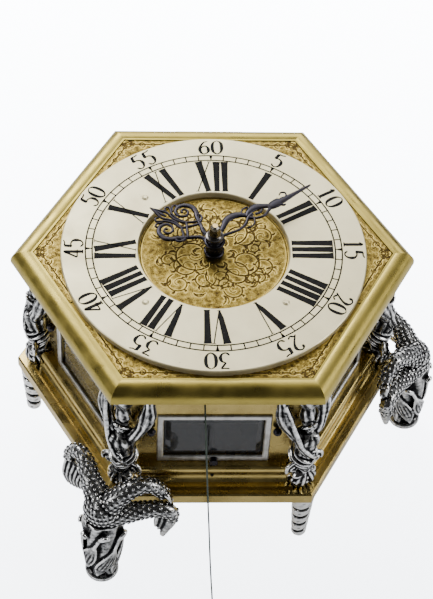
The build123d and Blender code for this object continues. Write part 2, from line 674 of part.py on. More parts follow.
def frame_bars():
    """The frame cut into four mitred bars."""
    outer = ((FRAME_HALF_WIDTH, FRAME_TOP_Z), (FRAME_HALF_WIDTH, FRAME_BOTTOM_Z))
    inner = ((LIGHT_HALF_WIDTH, LIGHT_TOP_Z), (LIGHT_HALF_WIDTH, LIGHT_BOTTOM_Z))
    right = (outer[0], outer[1], inner[1], inner[0])
    left = tuple((-y, z) for y, z in right)
    top = ((-outer[0][0], outer[0][1]), outer[0], inner[0], (-inner[0][0], inner[0][1]))
    bottom = ((-outer[1][0], outer[1][1]), outer[1], inner[1], (-inner[1][0], inner[1][1]))
    bars = []
    for corners in (right, left, top, bottom):
        with BuildPart() as bar:
            add(frame_side.part)
            wall_face = Plane(origin=(WALL_APOTHEM, 0, 0), x_dir=(0, 1, 0), z_dir=(1, 0, 0))
            with BuildSketch(wall_face) as outline:
                Polygon(*corners, align=None)
            extrude(outline.sketch, amount=2 * FRAME_PROUD, mode=Mode.INTERSECT)
        bars.append(bar.part)
    return bars


BARS = frame_bars()
SIDE_NAMES = ("back_right", "back", "back_left", "front_left", "front", "front_right")
for side, side_name in enumerate(SIDE_NAMES):
    turned = [bar.rotate(Axis.Z, HALF_CORNER + side * 360 / SIDES) for bar in BARS]
    bars = [solid for bar in turned for solid in (bar - front_holes.part).solids()]
    save(Compound(bars), f"window_frame_{side_name}")

with BuildPart() as pane:
    block(
        (WALL_APOTHEM - PANE_THICK, WALL_APOTHEM),
        (-HOLE_HALF_WIDTH + PANE_CLEARANCE, HOLE_HALF_WIDTH - PANE_CLEARANCE),
        (HOLE_BOTTOM_Z + PANE_CLEARANCE, HOLE_TOP_Z - PANE_CLEARANCE),
    )
save(all_sides(pane.part), "window_panes")

with BuildPart() as pin_pair:
    for side in (-1, 1):
        across = side * (FRAME_HALF_WIDTH + PIN_OUT)
        with Locations(Plane(origin=(WALL_INNER_APOTHEM, across, PIN_Z), z_dir=(1, 0, 0))):
            Cylinder(PIN_SHANK_R, WALL_THICK + PIN_BALL_R, align=MIN)
        with Locations((WALL_APOTHEM + PIN_BALL_OUT, across, PIN_Z)):
            Sphere(PIN_BALL_R)
save(all_sides(pin_pair.part), "figure_pins")

# ---------------------------------------------------------------- corner figures
FIGURE_TOP_Z = COVER_UNDER_Z - FIGURE_HEADROOM

with BuildPart() as figure:
    with BuildSketch(Plane.XZ) as figure_half:
        with BuildLine():
            body = [(FIGURE_RADIAL + reach, BASE_TOP_Z + rise) for reach, rise in FIGURE_OUTLINE]
            capital = [
                (FIGURE_RADIAL + CAPITAL_R, FIGURE_TOP_Z - CAPITAL_HEIGHT),
                (FIGURE_RADIAL + CAPITAL_R, FIGURE_TOP_Z),
            ]
            axis_ends = ((FIGURE_RADIAL, BASE_TOP_Z), (FIGURE_RADIAL, FIGURE_TOP_Z))
            Polyline(axis_ends[0], *body, *capital, axis_ends[1], close=True)
        make_face()
    revolve(axis=Axis((FIGURE_RADIAL, 0, 0), (0, 0, 1)))
    for side in (-1, 1):
        shoulder = (FIGURE_RADIAL, side * SHOULDER_SIDE, BASE_TOP_Z + SHOULDER_RISE)
        wall_x = WALL_CORNER_R - ARM_REACH * sin(radians(HALF_CORNER)) + ARM_R
        hand = (wall_x, side * ARM_REACH * cos(radians(HALF_CORNER)), FIGURE_TOP_Z - HAND_DROP)
        tube_between(shoulder, hand, ARM_R)
    hex_prism(WALL_APOTHEM, WALL_BOTTOM_Z, WALL_TOP_Z, Mode.SUBTRACT)
    hex_prism(WALL_INNER_APOTHEM, BASE_TOP_Z, WALL_TOP_Z, Mode.SUBTRACT)

CORNER_NAMES = ("right", "back_right", "back_left", "left", "front_left", "front_right")
for corner, corner_name in enumerate(CORNER_NAMES):
    save(figure.part.rotate(Axis.Z, corner * 360 / SIDES), f"corner_figure_{corner_name}")

# ---------------------------------------------------------------- feet
with BuildPart() as ribbed_foot:
    with BuildSketch(Plane.XZ) as foot_half:
        with BuildLine():
            rib = RIBBED_LENGTH / RIB_COUNT
            outline = [(FOOT_RADIAL, BASE_UNDER_Z), (FOOT_RADIAL + RIBBED_TOP_R, BASE_UNDER_Z)]
            for step in range(RIB_COUNT):
                share = (step + 1) / RIB_COUNT
                wide = RIBBED_TOP_R + (RIBBED_END_R - RIBBED_TOP_R) * share
                z = BASE_UNDER_Z - (step + 1) * rib
                outline.append((FOOT_RADIAL + wide, z + RIB_FALL * rib))
                outline.append((FOOT_RADIAL + wide - RIB_DEPTH, z))
            outline.append((FOOT_RADIAL, outline[-1][1]))
            Polyline(*outline, close=True)
        make_face()
    revolve(axis=Axis((FOOT_RADIAL, 0, 0), (0, 0, 1)))
    disc(TENON_R, BASE_UNDER_Z, BASE_UNDER_Z + TENON_LENGTH, (FOOT_RADIAL, 0))

for corner_name, angle in (("back_right", 60), ("left", 180), ("front_right", 300)):
    save(ribbed_foot.part.rotate(Axis.Z, angle), f"ribbed_foot_{corner_name}")


def dragon_point(place):
    """A point of the dragon from its place out from the pad, across, and up from the base plate's top."""
    out, across, up = place
    return (PAD_RADIAL + out, across, BASE_TOP_Z + up)


def dragon_bar(places, radius):
    """A chain of round bars through places on the dragon."""
    points = [dragon_point(place) for place in places]
    for start, end in zip(points, points[1:]):
        tube_between(start, end, radius)


with BuildPart() as dragon:
    # round pad on the table, then a leaf column that widens up to the trunk
    disc(PAD_R, 0, PAD_HEIGHT, (PAD_RADIAL, 0))
    sections = []
    for radius, out, height in COLUMN_SECTIONS:
        with BuildSketch(Plane.XY.offset(height)) as section:
            with Locations((PAD_RADIAL + out, 0)):
                Circle(radius)
        sections.append(section.sketch)
    loft(sections=sections)
    with Locations(dragon_point(TRUNK)):
        Sphere(TRUNK_R)
    # boss and tenon under the base plate, joined to the column
    disc(BOSS_R, BASE_UNDER_Z - BOSS_HEIGHT, BASE_UNDER_Z, (FOOT_RADIAL, 0))
    disc(TENON_R, BASE_UNDER_Z, BASE_UNDER_Z + TENON_LENGTH, (FOOT_RADIAL, 0))
    bridge_z = (BASE_UNDER_Z - BOSS_HEIGHT, BASE_UNDER_Z - BRIDGE_DROP)
    block((FOOT_RADIAL, PAD_RADIAL), (-BRIDGE_HALF_WIDTH, BRIDGE_HALF_WIDTH), bridge_z)
    # neck that curls over beside the corner, its hanging fin, and the two limbs
    dragon_bar(NECK, NECK_R)
    dragon_bar(FIN, FIN_R)
    dragon_bar(UPPER_LIMB, LIMB_R)
    dragon_bar(LOWER_LIMB, LIMB_R)
    # cut clear of the base plate and its moulding
    with BuildPart(mode=Mode.PRIVATE) as plate_around_tenon:
        hex_prism(BASE_APOTHEM, BASE_UNDER_Z, BASE_TOP_Z)
        disc(TENON_R, BASE_UNDER_Z, BASE_UNDER_Z + TENON_LENGTH, (FOOT_RADIAL, 0), Mode.SUBTRACT)
    add(plate_around_tenon.part, mode=Mode.SUBTRACT)
    hex_prism(WALL_APOTHEM + PLINTH_REACH, BASE_TOP_Z, WALL_BOTTOM_Z, Mode.SUBTRACT)
    disc(FIGURE_BULB_R + NICHE_CLEARANCE, BASE_TOP_Z, WALL_BOTTOM_Z, (FIGURE_RADIAL, 0), Mode.SUBTRACT)

with BuildPart() as mirrored_dragon:
    mirror(dragon.part, about=Plane.XZ)

save(mirrored_dragon.part, "dragon_foot_right")
for corner_name, angle in (("back_left", 120), ("front_left", 240)):
    save(dragon.part.rotate(Axis.Z, angle), f"dragon_foot_{corner_name}")

# ---------------------------------------------------------------- bell
with BuildPart() as bell:
    with BuildSketch(Plane.XZ.offset(-BELL_AT[1])) as bell_half:
        with BuildLine():
            rim_z = BASE_TOP_Z + BELL_LIFT
            x0 = BELL_AT[0]
            crown_z = rim_z + BELL_H
            shoulder = (x0 + BELL_R * BELL_SHOULDER, rim_z + BELL_H * BELL_SHOULDER)
            inner_shoulder = (shoulder[0] - BELL_WALL * 0.6, shoulder[1] - BELL_WALL * 0.8)
            ThreePointArc((x0 + BELL_R, rim_z), shoulder, (x0 + BELL_HOLE_R, crown_z))
            inner_crown = (x0 + BELL_HOLE_R, crown_z - BELL_WALL)
            Line((x0 + BELL_HOLE_R, crown_z), inner_crown)
            ThreePointArc(inner_crown, inner_shoulder, (x0 + BELL_R - BELL_WALL, rim_z))
            Line((x0 + BELL_R - BELL_WALL, rim_z), (x0 + BELL_R, rim_z))
        make_face()
    revolve(axis=Axis((BELL_AT[0], BELL_AT[1], 0), (0, 0, 1)))
save(bell.part, "bell")

with BuildPart() as bell_post:
    bell_top_z = bell.part.bounding_box().max.Z
    disc(BELL_HOLE_R, BASE_UNDER_Z + BELL_POST_SINK, bell_top_z + BELL_NUT_H, BELL_AT)
    sleeve_top = BASE_TOP_Z + BELL_LIFT + BELL_H - BELL_WALL - BELL_SLEEVE_GAP
    disc(BELL_HOLE_R + BELL_SLEEVE, BASE_TOP_Z, sleeve_top, BELL_AT)
    disc(BELL_NUT_R, bell_top_z, bell_top_z + BELL_NUT_H, BELL_AT)
save(bell_post.part, "bell_post")

# ---------------------------------------------------------------- cover, dial and hinge
with BuildPart() as cover_length:
    with BuildSketch(Plane.XZ) as cover_section:
        with BuildLine():
            rim = RIM_INNER_APOTHEM
            roll_in = rim + COVER_RIM
            lip_z = COVER_UNDER_Z + COVER_LIP
            roll_drop = ROLL_BOW[1] * (COVER_TOP_Z - lip_z)
            roll_middle = (COVER_APOTHEM - ROLL_BOW[0] * COVER_ROLL, COVER_TOP_Z - roll_drop)
            lip_in = COVER_APOTHEM - COVER_LIP_WIDTH
            Polyline((COVER_APOTHEM, lip_z), (COVER_APOTHEM, COVER_UNDER_Z), (lip_in, COVER_UNDER_Z))
            Polyline(
                (lip_in, COVER_UNDER_Z),
                (lip_in - COVER_LIP_TAPER, DIAL_UNDER_Z - COVER_SKIN),
                (WALL_APOTHEM + COVER_WALL_LAP, DIAL_UNDER_Z - COVER_SKIN),
                (WALL_APOTHEM + COVER_WALL_LAP, COVER_UNDER_Z),
                (LEDGE_INNER_APOTHEM, COVER_UNDER_Z),
                (LEDGE_INNER_APOTHEM, DIAL_UNDER_Z),
                (rim, DIAL_UNDER_Z),
                (rim, COVER_TOP_Z),
                (roll_in, COVER_TOP_Z),
            )
            ThreePointArc((roll_in, COVER_TOP_Z), roll_middle, (COVER_APOTHEM, lip_z))
        make_face()
    extrude(amount=BIG / 4, both=True)
    keep_one_side()
save(all_sides(cover_length.part), "cover_moulding")

RIVET_STEP = 360 / RIVET_COUNT
RIVETS_AT = [stepped(CENTRE, RING_PIN_RADIAL, (rivet + 0.5) * RIVET_STEP) for rivet in range(RIVET_COUNT)]

with BuildPart() as dial_plate:
    hex_prism(RIM_INNER_APOTHEM - DIAL_CLEARANCE, DIAL_UNDER_Z, DIAL_TOP_Z)
    disc(DIAL_HOLE_R, DIAL_UNDER_Z, DIAL_TOP_Z, CENTRE, Mode.SUBTRACT)
    for rivet_at in RIVETS_AT:
        disc(RING_PIN_R, DIAL_UNDER_Z, DIAL_TOP_Z, rivet_at, Mode.SUBTRACT)
save(dial_plate.part, "dial_plate")

with BuildPart() as chapter_ring:
    disc(RING_OUTER_R, DIAL_TOP_Z, RING_TOP_Z)
    disc(RING_INNER_R, DIAL_TOP_Z, RING_TOP_Z, CENTRE, Mode.SUBTRACT)
    chamfer(chapter_ring.edges().filter_by(GeomType.CIRCLE).group_by(Axis.Z)[-1], length=RING_CHAMFER)
    for rivet_at in RIVETS_AT:
        disc(RING_PIN_R, DIAL_TOP_Z, RING_TOP_Z, rivet_at, Mode.SUBTRACT)
save(chapter_ring.part, "chapter_ring")

with BuildPart() as dial_rivets:
    for rivet_at in RIVETS_AT:
        disc(RING_PIN_R, DIAL_UNDER_Z, RING_TOP_Z, rivet_at)
        with Locations((rivet_at[0], rivet_at[1], RING_TOP_Z)):
            Cone(RING_PIN_HEAD_R, RING_PIN_HEAD_R / 2, RIVET_HEAD_H, align=MIN)

with BuildPart() as dial_feet:
    for angle in DIAL_FOOT_ANGLES:
        disc(DIAL_FOOT_R, UPPER_UNDER_Z, DIAL_UNDER_Z, stepped(CENTRE, DIAL_FOOT_RADIAL, angle))
save(Compound([dial_rivets.part, dial_feet.part]), "dial_rivets")

HINGE_CENTRE = (0, HINGE_Y, HINGE_Z)
with BuildPart() as case_hinge_leaf:
    leaf_z = (HINGE_Z - KNUCKLE_R, HINGE_Z - KNUCKLE_R + LEAF_THICK)
    block((-HINGE_HALF, HINGE_HALF), (WALL_APOTHEM, HINGE_Y), leaf_z)
    with Locations(Plane(origin=HINGE_CENTRE, z_dir=(1, 0, 0))):
        Cylinder(KNUCKLE_R, 2 * HINGE_HALF)
    gap = KNUCKLE_HALF + KNUCKLE_GAP
    notch_y = (HINGE_Y - KNUCKLE_R - 1.0, HINGE_Y + 2 * KNUCKLE_R)
    block((-gap, gap), notch_y, (HINGE_Z - 2 * KNUCKLE_R, HINGE_Z + 2 * KNUCKLE_R), Mode.SUBTRACT)
    with Locations(Plane(origin=HINGE_CENTRE, z_dir=(1, 0, 0))):
        Cylinder(HINGE_PIN_R, 3 * HINGE_HALF, mode=Mode.SUBTRACT)
save(case_hinge_leaf.part, "case_hinge_leaf")

with BuildPart() as cover_hinge_leaf:
    with Locations(Plane(origin=HINGE_CENTRE, z_dir=(1, 0, 0))):
        Cylinder(KNUCKLE_R, 2 * KNUCKLE_HALF)
    lap_y = (COVER_APOTHEM - COVER_LEAF_LAP, HINGE_Y)
    block((-KNUCKLE_HALF, KNUCKLE_HALF), lap_y, (HINGE_Z, COVER_UNDER_Z))
    with Locations(Plane(origin=HINGE_CENTRE, z_dir=(1, 0, 0))):
        Cylinder(HINGE_PIN_R + PIPE_CLEARANCE, 3 * KNUCKLE_HALF, mode=Mode.SUBTRACT)
save(cover_hinge_leaf.part, "cover_hinge_leaf")

with BuildPart() as hinge_pin:
    with Locations(Plane(origin=HINGE_CENTRE, z_dir=(1, 0, 0))):
        Cylinder(HINGE_PIN_R, 2 * HINGE_HALF + 1.0)
save(hinge_pin.part, "hinge_pin")

# ---------------------------------------------------------------- movement frame
ARBORS = (THIRD_AT, FOURTH_AT, ESCAPE_AT)
COCK_FOOT_AT = stepped(BALANCE_AT, COCK_FOOT_DISTANCE, COCK_FOOT_ANGLE)


def movement_plate(bottom):
    """A round plate with the holes that both plates share."""
    disc(PLATE_R, bottom, bottom + PLATE_THICK)
    for angle in PILLAR_ANGLES:
        disc(SCREW_R, bottom, bottom + PLATE_THICK, stepped(CENTRE, PILLAR_RADIAL, angle), Mode.SUBTRACT)
    for at in ARBORS:
        disc(PIVOT_R + PIVOT_CLEARANCE, bottom, bottom + PLATE_THICK, at, Mode.SUBTRACT)
    disc(HAMMER_PIVOT_R + PIVOT_CLEARANCE, bottom, bottom + PLATE_THICK, HAMMER_AT, Mode.SUBTRACT)
    disc(WINDING_ARBOR_R + PIVOT_CLEARANCE, bottom, bottom + PLATE_THICK, BARREL_AT, Mode.SUBTRACT)
    disc(ARBOR_R + PIVOT_CLEARANCE, bottom, bottom + PLATE_THICK, CENTRE, Mode.SUBTRACT)
    disc(BALANCE_STAFF_R + PIVOT_CLEARANCE, bottom, bottom + PLATE_THICK, BALANCE_AT, Mode.SUBTRACT)


with BuildPart() as upper_plate:
    movement_plate(UPPER_UNDER_Z)
    for angle in DIAL_FOOT_ANGLES:
        foot_at = stepped(CENTRE, DIAL_FOOT_RADIAL, angle)
        disc(DIAL_FOOT_R, UPPER_UNDER_Z, UPPER_TOP_Z, foot_at, Mode.SUBTRACT)
    disc(PIVOT_R, UPPER_UNDER_Z, UPPER_TOP_Z, MINUTE_AT, Mode.SUBTRACT)
save(upper_plate.part, "upper_plate")

with BuildPart() as lower_plate:
    movement_plate(LOWER_UNDER_Z)
    disc(SCREW_R, LOWER_UNDER_Z, LOWER_TOP_Z, COCK_FOOT_AT, Mode.SUBTRACT)
save(lower_plate.part, "lower_plate")

with BuildPart() as pillars:
    for angle in PILLAR_ANGLES:
        pillar_at = stepped(CENTRE, PILLAR_RADIAL, angle)
        collars = (LOWER_TOP_Z + PILLAR_COLLAR, UPPER_UNDER_Z - PILLAR_COLLAR)
        disc(PILLAR_R, LOWER_TOP_Z, collars[0], pillar_at)
        disc(PILLAR_R * PILLAR_WAIST, collars[0], collars[1], pillar_at)
        with Locations((pillar_at[0], pillar_at[1], (LOWER_TOP_Z + UPPER_UNDER_Z) / 2)):
            Sphere(PILLAR_R)
        disc(PILLAR_R, collars[1], UPPER_UNDER_Z, pillar_at)
        disc(SCREW_R, LOWER_TOP_Z, LOWER_TOP_Z + SCREW_DEPTH, pillar_at, Mode.SUBTRACT)
        disc(SCREW_R, UPPER_UNDER_Z - SCREW_DEPTH, UPPER_UNDER_Z, pillar_at, Mode.SUBTRACT)
save(pillars.part, "pillars")

with BuildPart() as movement_screws:
    for angle in PILLAR_ANGLES:
        screw_at = stepped(CENTRE, PILLAR_RADIAL, angle)
        disc(SCREW_HEAD_R, LOWER_UNDER_Z - SCREW_HEAD_H, LOWER_UNDER_Z, screw_at)
        disc(SCREW_R, LOWER_UNDER_Z, LOWER_TOP_Z + SCREW_DEPTH, screw_at)
        disc(SCREW_HEAD_R, UPPER_TOP_Z, UPPER_TOP_Z + SCREW_HEAD_H, screw_at)
        disc(SCREW_R, UPPER_UNDER_Z - SCREW_DEPTH, UPPER_TOP_Z, screw_at)
    cock_under_z = LOWER_UNDER_Z - COCK_DROP - COCK_THICK
    disc(SCREW_HEAD_R, cock_under_z - SCREW_HEAD_H, cock_under_z, COCK_FOOT_AT)
    disc(SCREW_R, cock_under_z, LOWER_TOP_Z, COCK_FOOT_AT)
save(movement_screws.part, "movement_screws")

with BuildPart() as balance_cock:
    with BuildSketch(Plane.XY.offset(cock_under_z)) as cock_face:
        with Locations(BALANCE_AT):
            Circle(COCK_END_R)
        with Locations(COCK_FOOT_AT):
            Circle(COCK_FOOT_R)
        make_hull()
    extrude(cock_face.sketch, amount=COCK_THICK)
    disc(COCK_FOOT_R - COCK_RELIEF, cock_under_z + COCK_THICK, LOWER_UNDER_Z, COCK_FOOT_AT)
    disc(SCREW_R, cock_under_z, LOWER_UNDER_Z, COCK_FOOT_AT, Mode.SUBTRACT)
    staff_hole_r = BALANCE_STAFF_R + PIVOT_CLEARANCE
    disc(staff_hole_r, cock_under_z + COCK_SINK, cock_under_z + COCK_THICK, BALANCE_AT, Mode.SUBTRACT)
save(balance_cock.part, "balance_cock")

with BuildPart() as catch_block:
    toe_top = CATCH_Z - CATCH_ARM_W / 2 - TOE_GAP
    block(TOE_X, TOE_Y, (toe_top - TOE_THICK, toe_top))
    block(TOE_X, (TOE_Y[1] - TOE_WALL, TOE_Y[1]), (toe_top - TOE_THICK, LOWER_UNDER_Z))
save(catch_block.part, "catch_block")

with BuildPart() as minute_wheel_post:
    disc(PIVOT_R, UPPER_UNDER_Z, DIAL_UNDER_Z - POST_GAP, MINUTE_AT)
save(minute_wheel_post.part, "minute_wheel_post")

# ---------------------------------------------------------------- going train
BARREL_Z = LOWER_TOP_Z + BARREL_RISE
BARREL_TEETH_Z = BARREL_Z + BARREL_DRUM_H
THIRD_Z = LOWER_TOP_Z + THIRD_RISE
FOURTH_Z = LOWER_TOP_Z + FOURTH_RISE
ESCAPE_Z = LOWER_TOP_Z + ESCAPE_RISE
CENTRE_Z = LOWER_TOP_Z + CENTRE_RISE
BARREL_BORE_R = WINDING_ARBOR_R + PIVOT_CLEARANCE


def driven_pinion(module, leaves, at, wheel_z, driver_at):
    """A pinion that overlaps its driving wheel's thickness on both sides."""
    towards = degrees(atan2(driver_at[1] - at[1], driver_at[0] - at[0]))
    pinion(leaves, module, at, wheel_z - PINION_OVERLAP, WHEEL_THICK + 2 * PINION_OVERLAP, towards)


with BuildPart() as spring_barrel:
    disc(BARREL_DRUM_R, BARREL_Z, BARREL_TEETH_Z, BARREL_AT)
    wheel(BARREL_TEETH, MODULE, BARREL_AT, BARREL_TEETH_Z, WHEEL_THICK, BARREL_ANGLE + 180, spoke_holes=0)
    inside_top = BARREL_TEETH_Z - BARREL_WALL
    disc(BARREL_DRUM_R - BARREL_WALL, BARREL_Z + BARREL_WALL, inside_top, BARREL_AT, Mode.SUBTRACT)
    disc(BARREL_BORE_R, BARREL_Z, BARREL_TEETH_Z + WHEEL_THICK, BARREL_AT, Mode.SUBTRACT)
save(spring_barrel.part, "spring_barrel")

with BuildPart() as mainspring:
    spring_z = (BARREL_Z + BARREL_WALL + SPRING_GAP, BARREL_TEETH_Z - BARREL_WALL - SPRING_GAP)
    disc(MAINSPRING_OUTER_R, spring_z[0], spring_z[1], BARREL_AT)
    disc(MAINSPRING_INNER_R, spring_z[0], spring_z[1], BARREL_AT, Mode.SUBTRACT)
save(mainspring.part, "mainspring")

with BuildPart() as winding_arbor:
    disc(WINDING_ARBOR_R, LOWER_UNDER_Z - SQUARE_STEP, UPPER_TOP_Z - END_SHAKE, BARREL_AT)
    disc(MAINSPRING_INNER_R - CORE_GAP, spring_z[0], spring_z[1], BARREL_AT)
    collar_z = (BARREL_TEETH_Z + WHEEL_THICK + END_SHAKE, CENTRE_Z - WINDING_COLLAR_GAP)
    disc(2 * ARBOR_R, collar_z[0], collar_z[1], BARREL_AT)
    x_square, y_square = [(middle - SQUARE / 2, middle + SQUARE / 2) for middle in BARREL_AT]
    block(x_square, y_square, (SQUARE_END_Z, LOWER_UNDER_Z - SQUARE_STEP))
save(winding_arbor.part, "winding_arbor")

with BuildPart() as centre_wheel:
    disc(ARBOR_R, LOWER_UNDER_Z + END_SHAKE, UPPER_TOP_Z, CENTRE)
    disc(CENTRE_ARBOR_R, UPPER_TOP_Z, ARBOR_END_Z, CENTRE)
    wheel(CENTRE_TEETH, MODULE, CENTRE, CENTRE_Z, WHEEL_THICK, THIRD_ANGLE)
    driven_pinion(MODULE, CENTRE_PINION_TEETH, CENTRE, BARREL_TEETH_Z, BARREL_AT)
save(centre_wheel.part, "centre_wheel")

with BuildPart() as third_wheel:
    pivoted_arbor(THIRD_AT)
    wheel(THIRD_TEETH, MODULE, THIRD_AT, THIRD_Z, WHEEL_THICK, FOURTH_ANGLE)
    driven_pinion(MODULE, LEAVES, THIRD_AT, CENTRE_Z, CENTRE)
save(third_wheel.part, "third_wheel")

with BuildPart() as fourth_wheel:
    pivoted_arbor(FOURTH_AT)
    wheel(FOURTH_TEETH, FOURTH_MODULE, FOURTH_AT, FOURTH_Z, WHEEL_THICK, ESCAPE_ANGLE)
    driven_pinion(MODULE, LEAVES, FOURTH_AT, THIRD_Z, THIRD_AT)
save(fourth_wheel.part, "fourth_wheel")

with BuildPart() as escape_wheel:
    pivoted_arbor(ESCAPE_AT, shaft_r=ESCAPE_ARBOR_R)
    driven_pinion(FOURTH_MODULE, LEAVES, ESCAPE_AT, FOURTH_Z, FOURTH_AT)
    with BuildSketch(Plane.XY.offset(ESCAPE_Z)) as escape_face:
        with Locations(ESCAPE_AT):
            saw = []
            for tooth in range(ESCAPE_TEETH):
                tip_angle = 360 * tooth / ESCAPE_TEETH
                saw.append(stepped(CENTRE, ESCAPE_R, tip_angle))
                root_angle = tip_angle + ESCAPE_LEAD * 360 / ESCAPE_TEETH
                saw.append(stepped(CENTRE, ESCAPE_R * ESCAPE_ROOT, root_angle))
            Polygon(*saw, align=None)
    extrude(escape_face.sketch, amount=ESCAPE_THICK)
save(escape_wheel.part, "escape_wheel")

with BuildPart() as balance:
    rim_top = LOWER_UNDER_Z - BALANCE_DROP
    staff_z = (cock_under_z + COCK_SINK + END_SHAKE, UPPER_UNDER_Z + PLATE_THICK / 2)
    disc(BALANCE_STAFF_R, staff_z[0], staff_z[1], BALANCE_AT)
    disc(BALANCE_R, rim_top - BALANCE_THICK, rim_top, BALANCE_AT)
    disc(BALANCE_R - BALANCE_RIM, rim_top - BALANCE_THICK, rim_top, BALANCE_AT, Mode.SUBTRACT)
    disc(BALANCE_HUB_R, rim_top - BALANCE_THICK, rim_top, BALANCE_AT)
    with Locations((BALANCE_AT[0], BALANCE_AT[1], rim_top - BALANCE_THICK / 2)):
        with PolarLocations(0, BALANCE_ARMS, start_angle=BALANCE_ARM_ANGLE):
            with Locations((BALANCE_R / 2, 0, 0)):
                Box(BALANCE_R - BALANCE_RIM, BALANCE_ARM_W, BALANCE_THICK)
save(balance.part, "balance_wheel")

# ---------------------------------------------------------------- hammer and catch
with BuildPart() as bell_hammer:
    disc(HAMMER_PIVOT_R, LOWER_UNDER_Z - HAMMER_ARM_DROP, UPPER_TOP_Z - END_SHAKE, HAMMER_AT)
    collar_r = HAMMER_PIVOT_R + HAMMER_COLLAR
    disc(collar_r, LOWER_TOP_Z + END_SHAKE, LOWER_TOP_Z + HAMMER_COLLAR_H, HAMMER_AT)
    disc(collar_r, UPPER_UNDER_Z - HAMMER_COLLAR_H, UPPER_UNDER_Z - END_SHAKE, HAMMER_AT)
    arm_top = LOWER_UNDER_Z - HAMMER_ARM_DROP / 2
    with BuildSketch(Plane.XY.offset(arm_top - HAMMER_ARM_H)) as hammer_arm:
        for at in (HAMMER_AT, HAMMER_HEAD_AT):
            with Locations(at):
                Circle(HAMMER_ARM_W)
        make_hull()
    extrude(hammer_arm.sketch, amount=HAMMER_ARM_H)
    head_low = BASE_TOP_Z + BELL_LIFT + HAMMER_LIFT
    disc(HAMMER_ARM_W / 2, head_low, arm_top, HAMMER_HEAD_AT)
    disc(HAMMER_HEAD_R, head_low, head_low + HAMMER_HEAD_H, HAMMER_HEAD_AT)
save(bell_hammer.part, "bell_hammer")

with BuildPart() as movement_catch:
    front = -(WALL_APOTHEM + FRAME_PROUD)
    spindle_back = CATCH_ARM_Y + CATCH_ARM_THICK
    with Locations(Plane(origin=(CATCH_X, spindle_back, CATCH_Z), z_dir=(0, -1, 0))):
        Cylinder(CATCH_SPINDLE_R, spindle_back - front + CATCH_KNOB_L / 2, align=MIN)
    with Locations(Plane(origin=(CATCH_X, front - CATCH_KNOB_GAP, CATCH_Z), z_dir=(0, -1, 0))):
        Cylinder(CATCH_KNOB_R, CATCH_KNOB_L, align=MIN)
    arm_x = (CATCH_X - CATCH_ARM_W / 2, CATCH_X + CATCH_ARM_W / 2)
    block(arm_x, (CATCH_ARM_Y, spindle_back), (CATCH_Z - CATCH_ARM_W / 2, CATCH_Z + CATCH_ARM))
save(movement_catch.part, "movement_catch")

# ---------------------------------------------------------------- motion work and hands
MOTION_Z = UPPER_TOP_Z + MOTION_GAP
HOUR_WHEEL_Z = MOTION_Z + WHEEL_THICK + HOUR_WHEEL_GAP
CANNON_Z = MOTION_Z - CANNON_OVERLAP
MINUTE_PIPE_R = CANNON_PIPE_R - HAND_SHOULDER
MINUTE_HAND_TOP_Z = MINUTE_HAND_Z + HAND_THICK

with BuildPart() as cannon_pinion:
    leaves_thick = WHEEL_THICK + 2 * CANNON_OVERLAP
    pinion(CANNON_TEETH, CANNON_MODULE, CENTRE, CANNON_Z, leaves_thick, MINUTE_ANGLE)
    disc(CANNON_PIPE_R, CANNON_Z, MINUTE_HAND_Z, CENTRE)
    disc(MINUTE_PIPE_R, MINUTE_HAND_Z, MINUTE_HAND_TOP_Z, CENTRE)
    disc(CANNON_BORE_R, CANNON_Z, MINUTE_HAND_TOP_Z, CENTRE, Mode.SUBTRACT)
save(cannon_pinion.part, "cannon_pinion")

with BuildPart() as minute_wheel:
    wheel(MINUTE_TEETH, CANNON_MODULE, MINUTE_AT, MOTION_Z, WHEEL_THICK, MINUTE_ANGLE + 180, spoke_holes=0)
    above = MOTION_Z + WHEEL_THICK
    leaves_thick = HOUR_WHEEL_Z + WHEEL_THICK + CANNON_OVERLAP - above
    pinion(MINUTE_PINION_TEETH, HOUR_MODULE, MINUTE_AT, above, leaves_thick, MINUTE_ANGLE + 180)
    disc(PIVOT_R + PIVOT_CLEARANCE, UPPER_TOP_Z, DIAL_UNDER_Z, MINUTE_AT, Mode.SUBTRACT)
save(minute_wheel.part, "minute_wheel")

with BuildPart() as hour_wheel:
    wheel(HOUR_TEETH, HOUR_MODULE, CENTRE, HOUR_WHEEL_Z, WHEEL_THICK, MINUTE_ANGLE, spoke_holes=0)
    disc(HOUR_PIPE_R, HOUR_WHEEL_Z, HOUR_HAND_Z + HAND_THICK, CENTRE)
    disc(CANNON_PIPE_R + PIPE_CLEARANCE, HOUR_WHEEL_Z, HOUR_HAND_Z + HAND_THICK, CENTRE, Mode.SUBTRACT)
save(hour_wheel.part, "hour_wheel")


def hand_plane(z, angle):
    """A plane whose X axis runs along the hand."""
    return Plane(origin=(0, 0, z), x_dir=(cos(radians(angle)), sin(radians(angle)), 0), z_dir=(0, 0, 1))


